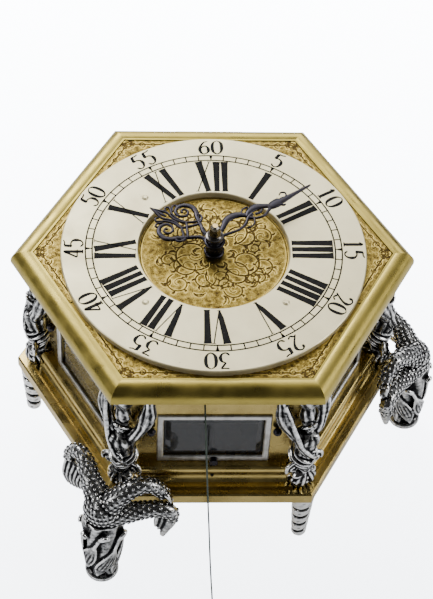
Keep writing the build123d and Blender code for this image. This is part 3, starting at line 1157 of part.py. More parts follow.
with BuildPart() as hour_hand:
    with BuildSketch(hand_plane(HOUR_HAND_Z, HOUR_HAND_ANGLE)) as hour_face:
        Circle(HAND_HUB_R)
        for side in (-1, 1):
            with Locations((HAND_HUB_R + LOOP_OUT, side * LOOP_SIDE)):
                Circle(LOOP_R)
            with Locations((HAND_HUB_R + SMALL_LOOP_OUT, side * SMALL_LOOP_SIDE)):
                Circle(SMALL_LOOP_R)
        leaf_side = [(HOUR_HAND_LENGTH + back, half) for back, half in HOUR_LEAF]
        other_side = [(along, -half) for along, half in leaf_side]
        Polygon(*other_side, (HOUR_HAND_LENGTH, 0), *reversed(leaf_side), align=None)
        for side in (-1, 1):
            with Locations((HAND_HUB_R + LOOP_OUT, side * LOOP_SIDE)):
                Circle(LOOP_R - LOOP_BAR, mode=Mode.SUBTRACT)
            with Locations((HAND_HUB_R + SMALL_LOOP_OUT, side * SMALL_LOOP_SIDE)):
                Circle(SMALL_LOOP_R - LOOP_BAR, mode=Mode.SUBTRACT)
        Circle(HOUR_PIPE_R, mode=Mode.SUBTRACT)
    extrude(hour_face.sketch, amount=HAND_THICK)
save(hour_hand.part, "hour_hand")

with BuildPart() as minute_hand:
    with BuildSketch(hand_plane(MINUTE_HAND_Z, MINUTE_HAND_ANGLE)) as minute_face:
        Circle(MINUTE_HUB_R)
        for loop_out in MINUTE_LOOPS_OUT:
            with Locations((HAND_HUB_R + loop_out, 0)):
                Ellipse(*MINUTE_LOOP)
        taper_x = HAND_HUB_R + MINUTE_TAPER_OUT
        root, tip = MINUTE_TAPER
        tip_x = MINUTE_HAND_LENGTH
        Polygon((taper_x, -root), (tip_x, -tip), (tip_x, tip), (taper_x, root), align=None)
        for loop_out in MINUTE_LOOPS_OUT:
            with Locations((HAND_HUB_R + loop_out + MINUTE_LOOP_SHIFT, 0)):
                Ellipse(*MINUTE_LOOP_HOLE, mode=Mode.SUBTRACT)
        Circle(MINUTE_PIPE_R, mode=Mode.SUBTRACT)
    extrude(minute_face.sketch, amount=HAND_THICK)
save(minute_hand.part, "minute_hand")

with BuildPart() as hand_collet:
    collet_top = MINUTE_HAND_TOP_Z + COLLET_H
    disc(COLLET_R, MINUTE_HAND_TOP_Z, collet_top - COLLET_H / 2, CENTRE)
    disc(COLLET_R * COLLET_STEP, collet_top - COLLET_H / 2, collet_top, CENTRE)
    disc(CENTRE_ARBOR_R, MINUTE_HAND_TOP_Z, collet_top, CENTRE, Mode.SUBTRACT)
save(hand_collet.part, "hand_collet")

# ---------------------------------------------------------------- pull cord
with BuildPart() as cord_eyelet:
    with Locations(Plane(origin=(CORD_EXIT[0], -WALL_INNER_APOTHEM, CORD_EXIT[2]), z_dir=(0, -1, 0))):
        Cylinder(EYELET_R, WALL_THICK + EYELET_PROUD, align=MIN)
        Cylinder(EYELET_BORE_R, WALL_THICK + EYELET_PROUD, align=MIN, mode=Mode.SUBTRACT)
save(cord_eyelet.part, "cord_eyelet")


def bend_radii(points):
    """The largest arc that each corner's two runs allow."""
    vectors = [Vector(*end) - Vector(*start) for start, end in zip(points, points[1:])]
    radii = []
    for before, after in zip(vectors, vectors[1:]):
        half_turn = radians(before.get_angle(after)) / 2
        radii.append(0.45 * min(before.length, after.length) / tan(half_turn))
    return radii


CORD_RADII = bend_radii(CORD_POINTS)
print("cord bend radii:", [round(radius, 1) for radius in CORD_RADII])

with BuildPart() as pull_cord:
    with BuildLine() as cord_path:
        FilletPolyline(*CORD_POINTS, radius=CORD_RADII)
    start_direction = Vector(*CORD_POINTS[1]) - Vector(*CORD_POINTS[0])
    with BuildSketch(Plane(origin=CORD_EXIT, z_dir=start_direction)) as cord_section:
        Circle(CORD_D / 2)
    sweep(cord_section.sketch, path=cord_path.wire())
cord_length = cord_path.wire().length
volume_share = pull_cord.part.volume / (pi * CORD_D**2 / 4 * cord_length)
print("cord length", round(cord_length, 1), "volume share", round(volume_share, 4))
save(pull_cord.part, "pull_cord")

with BuildPart() as cord_knot:
    last, before_last = Vector(*CORD_POINTS[-1]), Vector(*CORD_POINTS[-2])
    along = (last - before_last).normalized()
    along = Vector(along.X, along.Y, 0).normalized()
    knot_start = (last.X - KNOT_LAP * along.X, last.Y - KNOT_LAP * along.Y, KNOT_R)
    with Locations(Plane(origin=knot_start, z_dir=along)):
        Cylinder(KNOT_R, KNOT_L, align=MIN)
    fillet(cord_knot.edges().filter_by(GeomType.CIRCLE), radius=KNOT_ROUND * KNOT_R)
save(cord_knot.part, "cord_knot")

print("hinge axis y, z:", round(HINGE_Y, 3), round(HINGE_Z, 3))
print("arbors:", BARREL_AT, THIRD_AT, FOURTH_AT, ESCAPE_AT, BALANCE_AT, MINUTE_AT)
print("swing radius of the toe:", round(hypot(HINGE_Y - TOE_Y[0], HINGE_Z - (toe_top - TOE_THICK)), 2))
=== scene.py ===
"""A hexagonal table clock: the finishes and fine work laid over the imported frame."""

import logging
from dataclasses import dataclass
from enum import Enum
from math import cos, hypot, pi, radians, sin, sqrt
from typing import Callable, Iterable, Sequence

import bmesh
import bpy
from mathutils import Matrix, Vector, kdtree, noise

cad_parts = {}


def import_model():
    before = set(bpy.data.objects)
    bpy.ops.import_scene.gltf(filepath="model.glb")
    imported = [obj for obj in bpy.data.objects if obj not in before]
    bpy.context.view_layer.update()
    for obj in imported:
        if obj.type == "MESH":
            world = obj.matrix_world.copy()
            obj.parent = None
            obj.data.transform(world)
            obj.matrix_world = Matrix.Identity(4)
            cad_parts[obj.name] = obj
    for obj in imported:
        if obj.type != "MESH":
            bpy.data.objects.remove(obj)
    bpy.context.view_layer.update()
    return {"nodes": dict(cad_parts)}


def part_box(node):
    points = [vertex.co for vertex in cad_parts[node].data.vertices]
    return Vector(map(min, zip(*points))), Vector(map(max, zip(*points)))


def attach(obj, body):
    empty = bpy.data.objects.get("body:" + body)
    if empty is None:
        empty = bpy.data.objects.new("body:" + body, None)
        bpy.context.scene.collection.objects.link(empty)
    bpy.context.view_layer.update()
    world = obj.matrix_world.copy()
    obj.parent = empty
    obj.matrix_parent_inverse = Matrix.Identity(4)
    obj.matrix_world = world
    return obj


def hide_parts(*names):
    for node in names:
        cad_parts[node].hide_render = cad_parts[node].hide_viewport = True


LOG = logging.getLogger("table_clock")
MM = 0.001
MERGE_DISTANCE = 0.000002
FINE_BUMP = 0.0001
METAL_BUMP = 0.0002
GLASS_BUMP = 0.0004
EYE_SIDES = 48
NUMBER, COLOUR = "NodeSocketFloat", "NodeSocketColor"
GEOMETRY, FINISH = "NodeSocketGeometry", "NodeSocketMaterial"

Point = tuple[float, ...]
Colour = tuple[float, float, float]
Piece = bpy.types.Object
Material = bpy.types.Material
Socket = bpy.types.NodeSocket
Tree = bpy.types.NodeTree
Node = bpy.types.Node
Mesh = bpy.types.Mesh


class Slot(Enum):
    """The record's finishes."""

    GILT_CASE = "gilt_case"
    GILT_COVER = "gilt_cover"
    GILT_DIAL = "gilt_dial"
    SILVERED_RING = "silvered_ring"
    OXIDISED_SILVER = "oxidised_silver"
    SILVER_FRAME = "silver_frame"
    WINDOW_GLASS = "window_glass"
    BLUED_STEEL = "blued_steel"
    POLISHED_STEEL = "polished_steel"
    MOVEMENT_BRASS = "movement_brass"
    BELL_METAL = "bell_metal"
    CORD_FIBRE = "cord_fibre"


class Body(Enum):
    """The moving bodies that new pieces ride on."""

    CASE = "case"
    COVER = "movement"
    CENTRE_ARBOR = "centre_arbor"
    HOUR_WHEEL = "hour_wheel"


# ---------------------------------------------------------------- shader nodes


class NodeBench:
    """Adds nodes to one tree and joins them."""

    def __init__(self, tree: Tree) -> None:
        """Keeps the tree.

        Args:
            tree: The node tree that is worked on.
        """
        self.tree = tree

    def add(self, kind: str, settings: dict | None = None, **sockets: object) -> Node:
        """Adds one node.

        Args:
            kind: The node's type name.
            settings: Values for the node's own properties.
            sockets: Values or output sockets by input name, with spaces as underscores.

        Returns:
            The new node.
        """
        node = self.tree.nodes.new(kind)
        for name, value in (settings or {}).items():
            setattr(node, name, value)
        for name, value in sockets.items():
            self.put(node, name.replace("_", " "), value)
        return node

    def put(self, node: Node, name: str | int, value: object) -> None:
        """Gives an input its value, or joins an output to it.

        Args:
            node: The node with the input.
            name: The input's name or number.
            value: A plain value or an output socket.
        """
        if isinstance(value, Socket):
            self.tree.links.new(value, node.inputs[name])
        else:
            node.inputs[name].default_value = value

    def blend(self, share: object, first: object, second: object) -> Socket:
        """Mixes two colours.

        Args:
            share: How much of the second.
            first: The first colour or socket.
            second: The second colour or socket.

        Returns:
            The mixed colour's socket.
        """
        node = self.add("ShaderNodeMix", {"data_type": "RGBA"})
        self.put(node, 0, share)
        self.put(node, 6, first)
        self.put(node, 7, second)
        return node.outputs[2]

    def ranged(self, value: object, low: float, high: float, to_low: float, to_high: float) -> Socket:
        """Stretches a value from one range to another.

        Args:
            value: The socket with the value.
            low: The value that gives to_low.
            high: The value that gives to_high.
            to_low: The least result.
            to_high: The greatest result.

        Returns:
            The result's socket.
        """
        node = self.add("ShaderNodeMapRange", {"clamp": True}, Value=value)
        for name, number in zip(("From Min", "From Max", "To Min", "To Max"), (low, high, to_low, to_high)):
            node.inputs[name].default_value = number
        return node.outputs["Result"]

    def maths(self, operation: str, first: object, second: object = 0.5) -> Socket:
        """Works one sum.

        Args:
            operation: The sum's name.
            first: The first value or socket.
            second: The second value or socket.

        Returns:
            The result's socket.
        """
        node = self.add("ShaderNodeMath", {"operation": operation})
        self.put(node, 0, first)
        self.put(node, 1, second)
        return node.outputs[0]

    def between(self, share: object, first: object, second: object) -> Socket:
        """Mixes two numbers.

        Args:
            share: How much of the second.
            first: The first number or socket.
            second: The second number or socket.

        Returns:
            The mixed number's socket.
        """
        node = self.add("ShaderNodeMix", {"data_type": "FLOAT"})
        self.put(node, 0, share)
        self.put(node, 2, first)
        self.put(node, 3, second)
        return node.outputs[0]

    def place(self) -> Socket:
        """Returns the place on the object."""
        return self.add("ShaderNodeTexCoord").outputs["Object"]

    def grain(self, scale: object, detail: float, **more: object) -> Socket:
        """Adds a noise that stays fixed to the object.

        Args:
            scale: Its scale, as a value or a socket.
            detail: Its octaves.
            more: Other inputs by name.

        Returns:
            The noise's socket.
        """
        node = self.add("ShaderNodeTexNoise", Vector=self.place(), Scale=scale, Detail=detail, **more)
        return node.outputs["Fac"]

    def group(self, tree: Tree, **sockets: object) -> Node:
        """Adds a shared group.

        Args:
            tree: The group's tree.
            sockets: Values or output sockets by input name.

        Returns:
            The group's node.
        """
        return self.add("ShaderNodeGroup", {"node_tree": tree}, **sockets)

    def coat(
        self, shader: Node, colour: object, rough: object, height: object, strength: float, depth: float,
    ) -> None:
        """Joins colour, roughness and bump to a shader.

        Args:
            shader: The shader.
            colour: The colour's socket.
            rough: The roughness's socket.
            height: The bump's height.
            strength: The bump's strength.
            depth: The bump's depth in metres.
        """
        bump = self.add("ShaderNodeBump", Strength=strength, Distance=depth, Height=height)
        self.put(shader, "Base Color", colour)
        self.put(shader, "Roughness", rough)
        self.put(shader, "Normal", bump.outputs["Normal"])


def opaque(colour: Colour) -> tuple[float, float, float, float]:
    """Returns a colour with full alpha."""
    return (*colour, 1.0)


class ShaderGroups:
    """The effects that several finishes share, each built once."""

    def __init__(self) -> None:
        """Builds every group."""
        self.tarnish = self.build_tarnish()
        self.brushing = self.build_brushing()
        self.recess = self.build_recess()

    @staticmethod
    def shell(name: str, inputs: Sequence[tuple[str, str, object]], outputs: Sequence[tuple[str, str]]) -> tuple:
        """Makes an empty group with its sockets.

        Args:
            name: The group's name.
            inputs: Name, socket type and default value of each input.
            outputs: Name and socket type of each output.

        Returns:
            The tree, its bench, its input node and its output node.
        """
        tree = bpy.data.node_groups.new(name, "ShaderNodeTree")
        for label, kind, value in inputs:
            socket = tree.interface.new_socket(name=label, in_out="INPUT", socket_type=kind)
            socket.default_value = value
        for label, kind in outputs:
            tree.interface.new_socket(name=label, in_out="OUTPUT", socket_type=kind)
        return tree, NodeBench(tree), tree.nodes.new("NodeGroupInput"), tree.nodes.new("NodeGroupOutput")

    def build_tarnish(self) -> Tree:
        """Builds soft blotches of a second colour with fine specks.

        Returns:
            The group's tree.
        """
        tree, bench, given, made = self.shell(
            "tarnish",
            (
                ("Clean", COLOUR, (0.8, 0.6, 0.3, 1)),
                ("Stained", COLOUR, (0.4, 0.3, 0.1, 1)),
                ("Speck", COLOUR, (0.1, 0.08, 0.05, 1)),
                ("Patch Scale", NUMBER, 60.0),
                ("Amount", NUMBER, 0.5),
            ),
            (("Color", COLOUR),),
        )
        broad = bench.grain(given.outputs["Patch Scale"], 5.0, Roughness=0.6)
        blotch = bench.ranged(broad, 0.38, 0.68, 0.0, 1.0)
        mask = bench.maths("MULTIPLY", blotch, given.outputs["Amount"])
        stained = bench.blend(mask, given.outputs["Clean"], given.outputs["Stained"])
        specks = bench.ranged(bench.grain(900.0, 3.0), 0.70, 0.80, 0.0, 0.7)
        bench.put(made, "Color", bench.blend(specks, stained, given.outputs["Speck"]))
        return tree

    def build_brushing(self) -> Tree:
        """Builds fine hair lines and faint dents for polished metal.

        Returns:
            The group's tree.
        """
        tree, bench, given, made = self.shell(
            "brushing",
            (
                ("Stretch", "NodeSocketVector", (1.0, 1.0, 1.0)),
                ("Smooth", NUMBER, 0.2),
                ("Dull", NUMBER, 0.4),
            ),
            (("Height", NUMBER), ("Roughness", NUMBER)),
        )
        drawn = bench.add("ShaderNodeVectorMath", {"operation": "MULTIPLY"})
        bench.put(drawn, 0, bench.place())
        bench.put(drawn, 1, given.outputs["Stretch"])
        hairs = bench.add("ShaderNodeTexNoise", Vector=drawn.outputs[0], Scale=1500.0, Detail=2.0)
        dents = bench.grain(120.0, 3.0)
        softly = bench.maths("MULTIPLY", dents, 3.0)
        bench.put(made, "Height", bench.maths("ADD", hairs.outputs["Fac"], softly))
        dented = bench.ranged(dents, 0.35, 0.65, 0.0, 1.0)
        bench.put(made, "Roughness", bench.between(dented, given.outputs["Smooth"], given.outputs["Dull"]))
        return tree

    def build_recess(self) -> Tree:
        """Builds the dark in hollows and the bright on high places: oxide and worn metal on the cast silver, painted
        shade in the cuts and a painted highlight beside them on the engraved gilding.

        Returns:
            The group's tree.
        """
        tree, bench, given, made = self.shell(
            "recess",
            (
                ("Color", COLOUR, (0.8, 0.8, 0.8, 1)),
                ("Hollow", COLOUR, (0.02, 0.02, 0.02, 1)),
                ("High", COLOUR, (0.9, 0.9, 0.9, 1)),
                ("Relief", NUMBER, 0.5),
                ("Smooth", NUMBER, 0.2),
                ("Dull", NUMBER, 0.5),
            ),
            (("Color", COLOUR), ("Roughness", NUMBER)),
        )
        grime = bench.ranged(bench.grain(700.0, 4.0), 0.3, 0.7, -0.14, 0.14)
        shifted = bench.maths("ADD", given.outputs["Relief"], grime)
        lifted = bench.ranged(shifted, 0.36, 0.56, 0.0, 1.0)
        # the high colour is worn bright metal on the cast silver and a painted highlight beside the cuts on the
        # engraved gilding
        wear_and_highlight = bench.ranged(shifted, 0.56, 0.76, 0.0, 1.0)
        # the hollow colour is oxide in the silver's hollows and painted shade in the gilding's cuts
        shaded = bench.blend(lifted, given.outputs["Hollow"], given.outputs["Color"])
        bench.put(made, "Color", bench.blend(wear_and_highlight, shaded, given.outputs["High"]))
        bench.put(made, "Roughness", bench.between(lifted, given.outputs["Dull"], given.outputs["Smooth"]))
        return tree


@dataclass(frozen=True)
class MetalFinish:
    """A polished, gilt or silvered metal with tarnish and hair lines."""

    name: str
    clean: Colour
    stained: Colour
    speck: Colour
    patch_scale: float = 60.0
    amount: float = 0.6
    smooth: float = 0.22
    dull: float = 0.42
    bump: float = 0.05
    stretch: Point = (1.0, 1.0, 1.0)
    metallic: float = 1.0

    def make(self, groups: ShaderGroups) -> Material:
        """Builds the material.

        Args:
            groups: The shared shader groups.

        Returns:
            The material.
        """
        material, bench, shader = new_material(self.name)
        tarnish = bench.group(
            groups.tarnish, Clean=opaque(self.clean), Stained=opaque(self.stained), Speck=opaque(self.speck),
            Patch_Scale=self.patch_scale, Amount=self.amount,
        )
        brushing = bench.group(groups.brushing, Stretch=self.stretch, Smooth=self.smooth, Dull=self.dull)
        rough, height = brushing.outputs["Roughness"], brushing.outputs["Height"]
        bench.put(shader, "Metallic", self.metallic)
        bench.coat(shader, tarnish.outputs["Color"], rough, height, self.bump, METAL_BUMP)
        return material


@dataclass(frozen=True)
class ReliefFinish:
    """A cast or engraved metal, dark where the piece's relief is low."""

    name: str
    middle: Colour
    hollow: Colour
    high: Colour
    smooth: float = 0.24
    dull: float = 0.6
    grain: float = 0.25
    grain_scale: float = 1400.0

    def make(self, groups: ShaderGroups) -> Material:
        """Builds the material.

        Args:
            groups: The shared shader groups.

        Returns:
            The material.
        """
        material, bench, shader = new_material(self.name)
        relief = bench.add("ShaderNodeAttribute", {"attribute_name": "relief"})
        recess = bench.group(
            groups.recess, Relief=relief.outputs["Fac"], Color=opaque(self.middle), Hollow=opaque(self.hollow),
            High=opaque(self.high), Smooth=self.smooth, Dull=self.dull,
        )
        colour, rough = recess.outputs["Color"], recess.outputs["Roughness"]
        bench.put(shader, "Metallic", 1.0)
        bench.coat(shader, colour, rough, bench.grain(self.grain_scale, 4.0), self.grain, METAL_BUMP)
        return material


@dataclass(frozen=True)
class GlassFinish:
    """Bevelled window glass, grey with age."""

    name: str = "grey_glass"
    tint: Colour = (0.13, 0.133, 0.14)
    haze: Colour = (0.09, 0.09, 0.085)
    dust: Colour = (0.3, 0.3, 0.28)
    clear: float = 0.8

    def make(self, groups: ShaderGroups) -> Material:
        """Builds the material.

        Args:
            groups: The shared shader groups.

        Returns:
            The material.
        """
        material, bench, shader = new_material(self.name)
        bench.put(shader, "Transmission Weight", self.clear)
        bench.put(shader, "IOR", 1.5)
        tarnish = bench.group(
            groups.tarnish, Clean=opaque(self.tint), Stained=opaque(self.haze), Speck=opaque(self.dust), Amount=0.4,
        )
        rough = bench.ranged(bench.grain(160.0, 4.0), 0.4, 0.7, 0.02, 0.14)
        bench.coat(shader, tarnish.outputs["Color"], rough, bench.grain(55.0, 1.0), 0.06, GLASS_BUMP)
        return material


@dataclass(frozen=True)
class InkFinish:
    """Black wax in the engraved numerals."""

    name: str = "numeral_wax"
    black: Colour = (0.003, 0.003, 0.003)
    rubbed: Colour = (0.016, 0.014, 0.012)
    chipped: Colour = (0.06, 0.055, 0.045)

    def make(self, groups: ShaderGroups) -> Material:
        """Builds the material.

        Args:
            groups: The shared shader groups.

        Returns:
            The material.
        """
        material, bench, shader = new_material(self.name)
        tarnish = bench.group(
            groups.tarnish, Clean=opaque(self.black), Stained=opaque(self.rubbed), Speck=opaque(self.chipped),
            Patch_Scale=380.0,
        )
        pits = bench.grain(2200.0, 3.0)
        bench.put(shader, "Specular IOR Level", 0.12)
        bench.coat(shader, tarnish.outputs["Color"], bench.ranged(pits, 0.3, 0.7, 0.6, 0.8), pits, 0.2, FINE_BUMP)
        return material


@dataclass(frozen=True)
class CordFinish:
    """Two grey-green strands twisted together, with painted shade in the crease between them."""

    name: str = "twisted_thread"
    pale: Colour = (0.13, 0.17, 0.13)
    # dark is painted shade in the crease between the strands
    dark: Colour = (0.02, 0.03, 0.025)
    twists: float = 900.0

    def make(self) -> Material:
        """Builds the material.

        Returns:
            The material.
        """
        material, bench, shader = new_material(self.name)
        lay = bench.add(
            "ShaderNodeTexWave", {"wave_type": "BANDS", "bands_direction": "DIAGONAL"}, Vector=bench.place(),
            Scale=self.twists, Distortion=0.6,
        )
        fuzz = bench.grain(5000.0, 3.0)
        strands_and_crease_shade = bench.maths("MULTIPLY", lay.outputs["Fac"], bench.ranged(fuzz, 0.2, 0.8, 0.6, 1.0))
        # the dark bands are painted shade in the crease between the strands; the fuzz is the fibre's own tone
        colour = bench.blend(strands_and_crease_shade, opaque(self.dark), opaque(self.pale))
        bench.coat(shader, colour, bench.ranged(fuzz, 0.3, 0.7, 0.75, 0.95), strands_and_crease_shade, 0.6, FINE_BUMP)
        return material


@dataclass(frozen=True)
class PlainFloorFinish:
    """The pale table under the clock, brighter to the eye than in reflections."""

    name: str = "studio_floor"
    pale: Colour = (0.9, 0.91, 0.94)
    glow_colour: Colour = (0.88, 0.93, 1.0)
    glow: float = 0.25
    seen_glow: float = 4.6
    far_glow: float = 14.0

    def make(self) -> Material:
        """Builds the material.

        Returns:
            The material.
        """
        material, bench, shader = new_material(self.name)
        soft = bench.grain(6.0, 2.0)
        darker = tuple(part * 0.985 for part in self.pale)
        bench.put(shader, "Base Color", bench.blend(soft, opaque(self.pale), opaque(darker)))
        bench.put(shader, "Roughness", 0.32)
        bench.put(shader, "Specular IOR Level", 0.35)
        seen = bench.add("ShaderNodeLightPath").outputs["Is Camera Ray"]
        bench.put(shader, "Emission Color", opaque(self.glow_colour))
        depth = bench.add("ShaderNodeSeparateXYZ", Vector=bench.place()).outputs["Y"]
        bright = bench.ranged(depth, -0.12, 0.3, self.seen_glow, self.far_glow)
        shown = bench.maths("MULTIPLY", seen, bright)
        bench.put(shader, "Emission Strength", bench.maths("ADD", shown, self.glow))
        return material


def new_material(name: str) -> tuple[Material, NodeBench, Node]:
    """Makes a material with one Principled shader.

    Args:
        name: The material's name.

    Returns:
        The material, a bench for its tree and the shader.
    """
    material = bpy.data.materials.new(name)
    material.use_nodes = True
    material.node_tree.nodes.clear()
    bench = NodeBench(material.node_tree)
    shader = bench.add("ShaderNodeBsdfPrincipled")
    out = bench.add("ShaderNodeOutputMaterial")
    bench.put(out, "Surface", shader.outputs[0])
    return material, bench, shader


class Paintbox:
    """Every finish of the clock, by the record's slot."""

    def __init__(self) -> None:
        """Builds the materials."""
        groups = ShaderGroups()
        self.by_slot: dict[Slot, Material] = {}
        metals = {
            Slot.GILT_CASE: MetalFinish(
                "case_gilding", (0.56, 0.425, 0.145), (0.33, 0.24, 0.072), (0.10, 0.065, 0.02), patch_scale=90.0,
                amount=0.65, smooth=0.18, dull=0.34,
            ),
            Slot.GILT_COVER: MetalFinish(
                "cover_gilding", (0.40, 0.315, 0.075), (0.26, 0.19, 0.042), (0.11, 0.07, 0.02), patch_scale=55.0,
                smooth=0.26, dull=0.44,
            ),
            Slot.SILVERED_RING: MetalFinish(
                "ring_silvering", (0.82, 0.735, 0.46), (0.62, 0.545, 0.32), (0.34, 0.30, 0.2), patch_scale=45.0,
                amount=0.6, smooth=0.34, dull=0.5, bump=0.03, metallic=0.6,
            ),
            Slot.SILVER_FRAME: MetalFinish(
                "frame_silver", (0.74, 0.73, 0.7), (0.42, 0.4, 0.36), (0.1, 0.09, 0.08), patch_scale=260.0, amount=0.8,
                smooth=0.3, dull=0.5, bump=0.25,
            ),
            Slot.BLUED_STEEL: MetalFinish(
                "hand_bluing", (0.030, 0.029, 0.038), (0.040, 0.034, 0.034), (0.008, 0.007, 0.008), patch_scale=420.0,
                amount=0.8, smooth=0.24, dull=0.4, bump=0.08,
            ),
            Slot.POLISHED_STEEL: MetalFinish(
                "bright_steel", (0.6, 0.6, 0.62), (0.4, 0.39, 0.38), (0.12, 0.1, 0.09), smooth=0.14, dull=0.3,
            ),
            Slot.MOVEMENT_BRASS: MetalFinish(
                "train_brass", (0.8, 0.58, 0.24), (0.5, 0.34, 0.13), (0.2, 0.13, 0.05), patch_scale=150.0, smooth=0.2,
                dull=0.4, stretch=(1.0, 8.0, 1.0),
            ),
            Slot.BELL_METAL: MetalFinish(
                "bell_bronze", (0.62, 0.48, 0.24), (0.4, 0.3, 0.14), (0.14, 0.1, 0.05), smooth=0.2, dull=0.36,
                stretch=(1.0, 1.0, 12.0),
            ),
        }
        for slot, finish in metals.items():
            self.by_slot[slot] = finish.make(groups)
        # The engraved gilding's hollow colour is painted shade in the cuts and its high colour a painted highlight
        # beside them.
        self.by_slot[Slot.GILT_DIAL] = ReliefFinish(
            "engraved_gilding", (0.195, 0.137, 0.028), (0.055, 0.035, 0.009), (0.38, 0.28, 0.075), smooth=0.3,
            dull=0.55, grain=0.6, grain_scale=2600.0,
        ).make(groups)
        self.by_slot[Slot.OXIDISED_SILVER] = ReliefFinish(
            "cast_silver", (0.30, 0.30, 0.295), (0.006, 0.006, 0.007), (0.86, 0.855, 0.84), smooth=0.16, dull=0.6,
        ).make(groups)
        self.by_slot[Slot.WINDOW_GLASS] = GlassFinish().make(groups)
        self.by_slot[Slot.CORD_FIBRE] = CordFinish().make()
        self.plain_dial = MetalFinish(
            "dial_gilding", (0.22, 0.158, 0.035), (0.15, 0.1, 0.022), (0.1, 0.06, 0.02), patch_scale=70.0, smooth=0.3,
            dull=0.5,
        ).make(groups)
        self.plain_silver = MetalFinish(
            "worn_silver", (0.5, 0.5, 0.49), (0.12, 0.12, 0.12), (0.03, 0.03, 0.03), patch_scale=300.0, amount=0.9,
            smooth=0.22, dull=0.5,
        ).make(groups)
        self.boss_steel = MetalFinish(
            "boss_steel", (0.22, 0.205, 0.19), (0.08, 0.07, 0.06), (0.02, 0.018, 0.015), patch_scale=500.0, amount=0.9,
            smooth=0.12, dull=0.3,
        ).make(groups)
        self.wax = InkFinish().make(groups)
        self.floor = PlainFloorFinish().make()

    def of(self, slot: Slot) -> Material:
        """Returns the material of a slot."""
        return self.by_slot[slot]


# ---------------------------------------------------------------- mesh helpers


@dataclass
class Shape:
    """Points and faces of a mesh in the making, in millimetres."""

    points: list[Vector]
    faces: list[tuple[int, ...]]

    @staticmethod
    def empty() -> "Shape":
        """Returns a shape with nothing in it."""
        return Shape([], [])

    def add(self, other: "Shape") -> "Shape":
        """Takes in another shape.

        Args:
            other: The shape that is added.

        Returns:
            This shape.
        """
        first = len(self.points)
        self.points.extend(other.points)
        self.faces.extend(tuple(first + corner for corner in face) for face in other.faces)
        return self

    def moved(self, matrix: Matrix) -> "Shape":
        """Returns a copy in another place.

        Args:
            matrix: The move, turn or mirror.

        Returns:
            The copy.
        """
        return Shape([matrix @ point for point in self.points], list(self.faces))


def smooth_line(points: Sequence[Sequence[float]], steps: int = 6) -> list[tuple[float, ...]]:
    """Runs a smooth line through points of any number of values.

    Args:
        points: The points that the line goes through.
        steps: Places on the line for each stretch.

    Returns:
        The places on the line.
    """
    line: list[tuple[float, ...]] = []
    for index in range(len(points) - 1):
        before = points[max(index - 1, 0)]
        start, end = points[index], points[index + 1]
        after = points[min(index + 2, len(points) - 1)]
        for step in range(steps):
            t = step / steps
            line.append(tuple(
                0.5 * (2 * s + (e - b) * t + (2 * b - 5 * s + 4 * e - a) * t * t + (3 * s - b - 3 * e + a) * t ** 3)
                for b, s, e, a in zip(before, start, end, after)
            ))
    line.append(tuple(points[-1]))
    return line


def rings_to_shape(rings: Sequence[Sequence[Vector]], close_ends: bool = True) -> Shape:
    """Skins a run of closed rings.

    Args:
        rings: Rings with the same number of points.
        close_ends: Whether a point closes each end.

    Returns:
        The skinned shape.
    """
    count = len(rings[0])
    shape = Shape([point for ring in rings for point in ring], [])
    for level in range(len(rings) - 1):
        low, high = level * count, (level + 1) * count
        for side in range(count):
            nxt = (side + 1) % count
            shape.faces.append((low + side, low + nxt, high + nxt, high + side))
    if close_ends:
        for ring, start, turn in ((rings[0], 0, -1), (rings[-1], (len(rings) - 1) * count, 1)):
            middle = sum(ring, Vector()) / count
            shape.points.append(middle)
            top = len(shape.points) - 1
            for side in range(count):
                pair = (start + side, start + (side + 1) % count)
                shape.faces.append((*pair[::turn], top))
    return shape


def neighbours(line: Sequence, index: int) -> tuple:
    """Returns the places before and after one on a line, or the place itself at an end."""
    return line[max(index - 1, 0)], line[min(index + 1, len(line) - 1)]


def washer(section: Sequence[tuple[float, float]], sides: int = EYE_SIDES) -> Shape:
    """Turns a closed section about the Z axis, for a ring with a hole.

    Args:
        section: Radius and height of each corner.
        sides: Points around the ring.

    Returns:
        The closed ring.
    """
    turns = [2 * pi * side / sides for side in range(sides)]
    rings = [[Vector((out * cos(a), out * sin(a), height)) for a in turns] for out, height in section]
    return rings_to_shape([*rings, rings[0]], close_ends=False)


def tube(
    points: Sequence[Point], sides: int = 16, steps: int = 6, wave: Callable[[float, float], float] | None = None,
) -> Shape:
    """Makes a limb that follows points of x, y, z and radius.

    Args:
        points: Places on the limb, each with its radius.
        sides: Points around the limb.
        steps: Rings for each stretch.
        wave: A factor on the radius, from the angle and the share of the length.

    Returns:
        The limb.
    """
    line = smooth_line(points, steps)
    places = [Vector(place[:3]) for place in line]
    heading = (places[1] - places[0]).normalized()
    side = heading.orthogonal().normalized()
    rings = []
    for index, place in enumerate(places):
        near, far = neighbours(places, index)
        ahead = (far - near).normalized()
        side = (side - ahead * side.dot(ahead)).normalized()
        across = ahead.cross(side)
        ring = []
        for step in range(sides):
            angle = 2 * pi * step / sides
            radius = line[index][3] * (wave(angle, index / (len(places) - 1)) if wave else 1.0)
            ring.append(place + (side * cos(angle) + across * sin(angle)) * radius)
        rings.append(ring)
    return rings_to_shape(rings)


def turned(
    profile: Sequence[tuple[float, float]], sides: int = 48, steps: int = 1,
    wave: Callable[[float, float], float] | None = None,
) -> Shape:
    """Turns a profile about the Z axis.

    Args:
        profile: Radius and height up the piece.
        sides: Points around the piece.
        steps: Rings for each stretch, above one for a smooth profile.
        wave: A factor on the radius, from the angle and the height.

    Returns:
        The turned piece.
    """
    line = smooth_line(profile, steps) if steps > 1 else list(profile)
    rings = []
    for radius, height in line:
        ring = []
        for step in range(sides):
            angle = 2 * pi * step / sides
            out = max(radius, 0.001) * (wave(angle, height) if wave else 1.0)
            ring.append(Vector((out * cos(angle), out * sin(angle), height)))
        rings.append(ring)
    return rings_to_shape(rings)


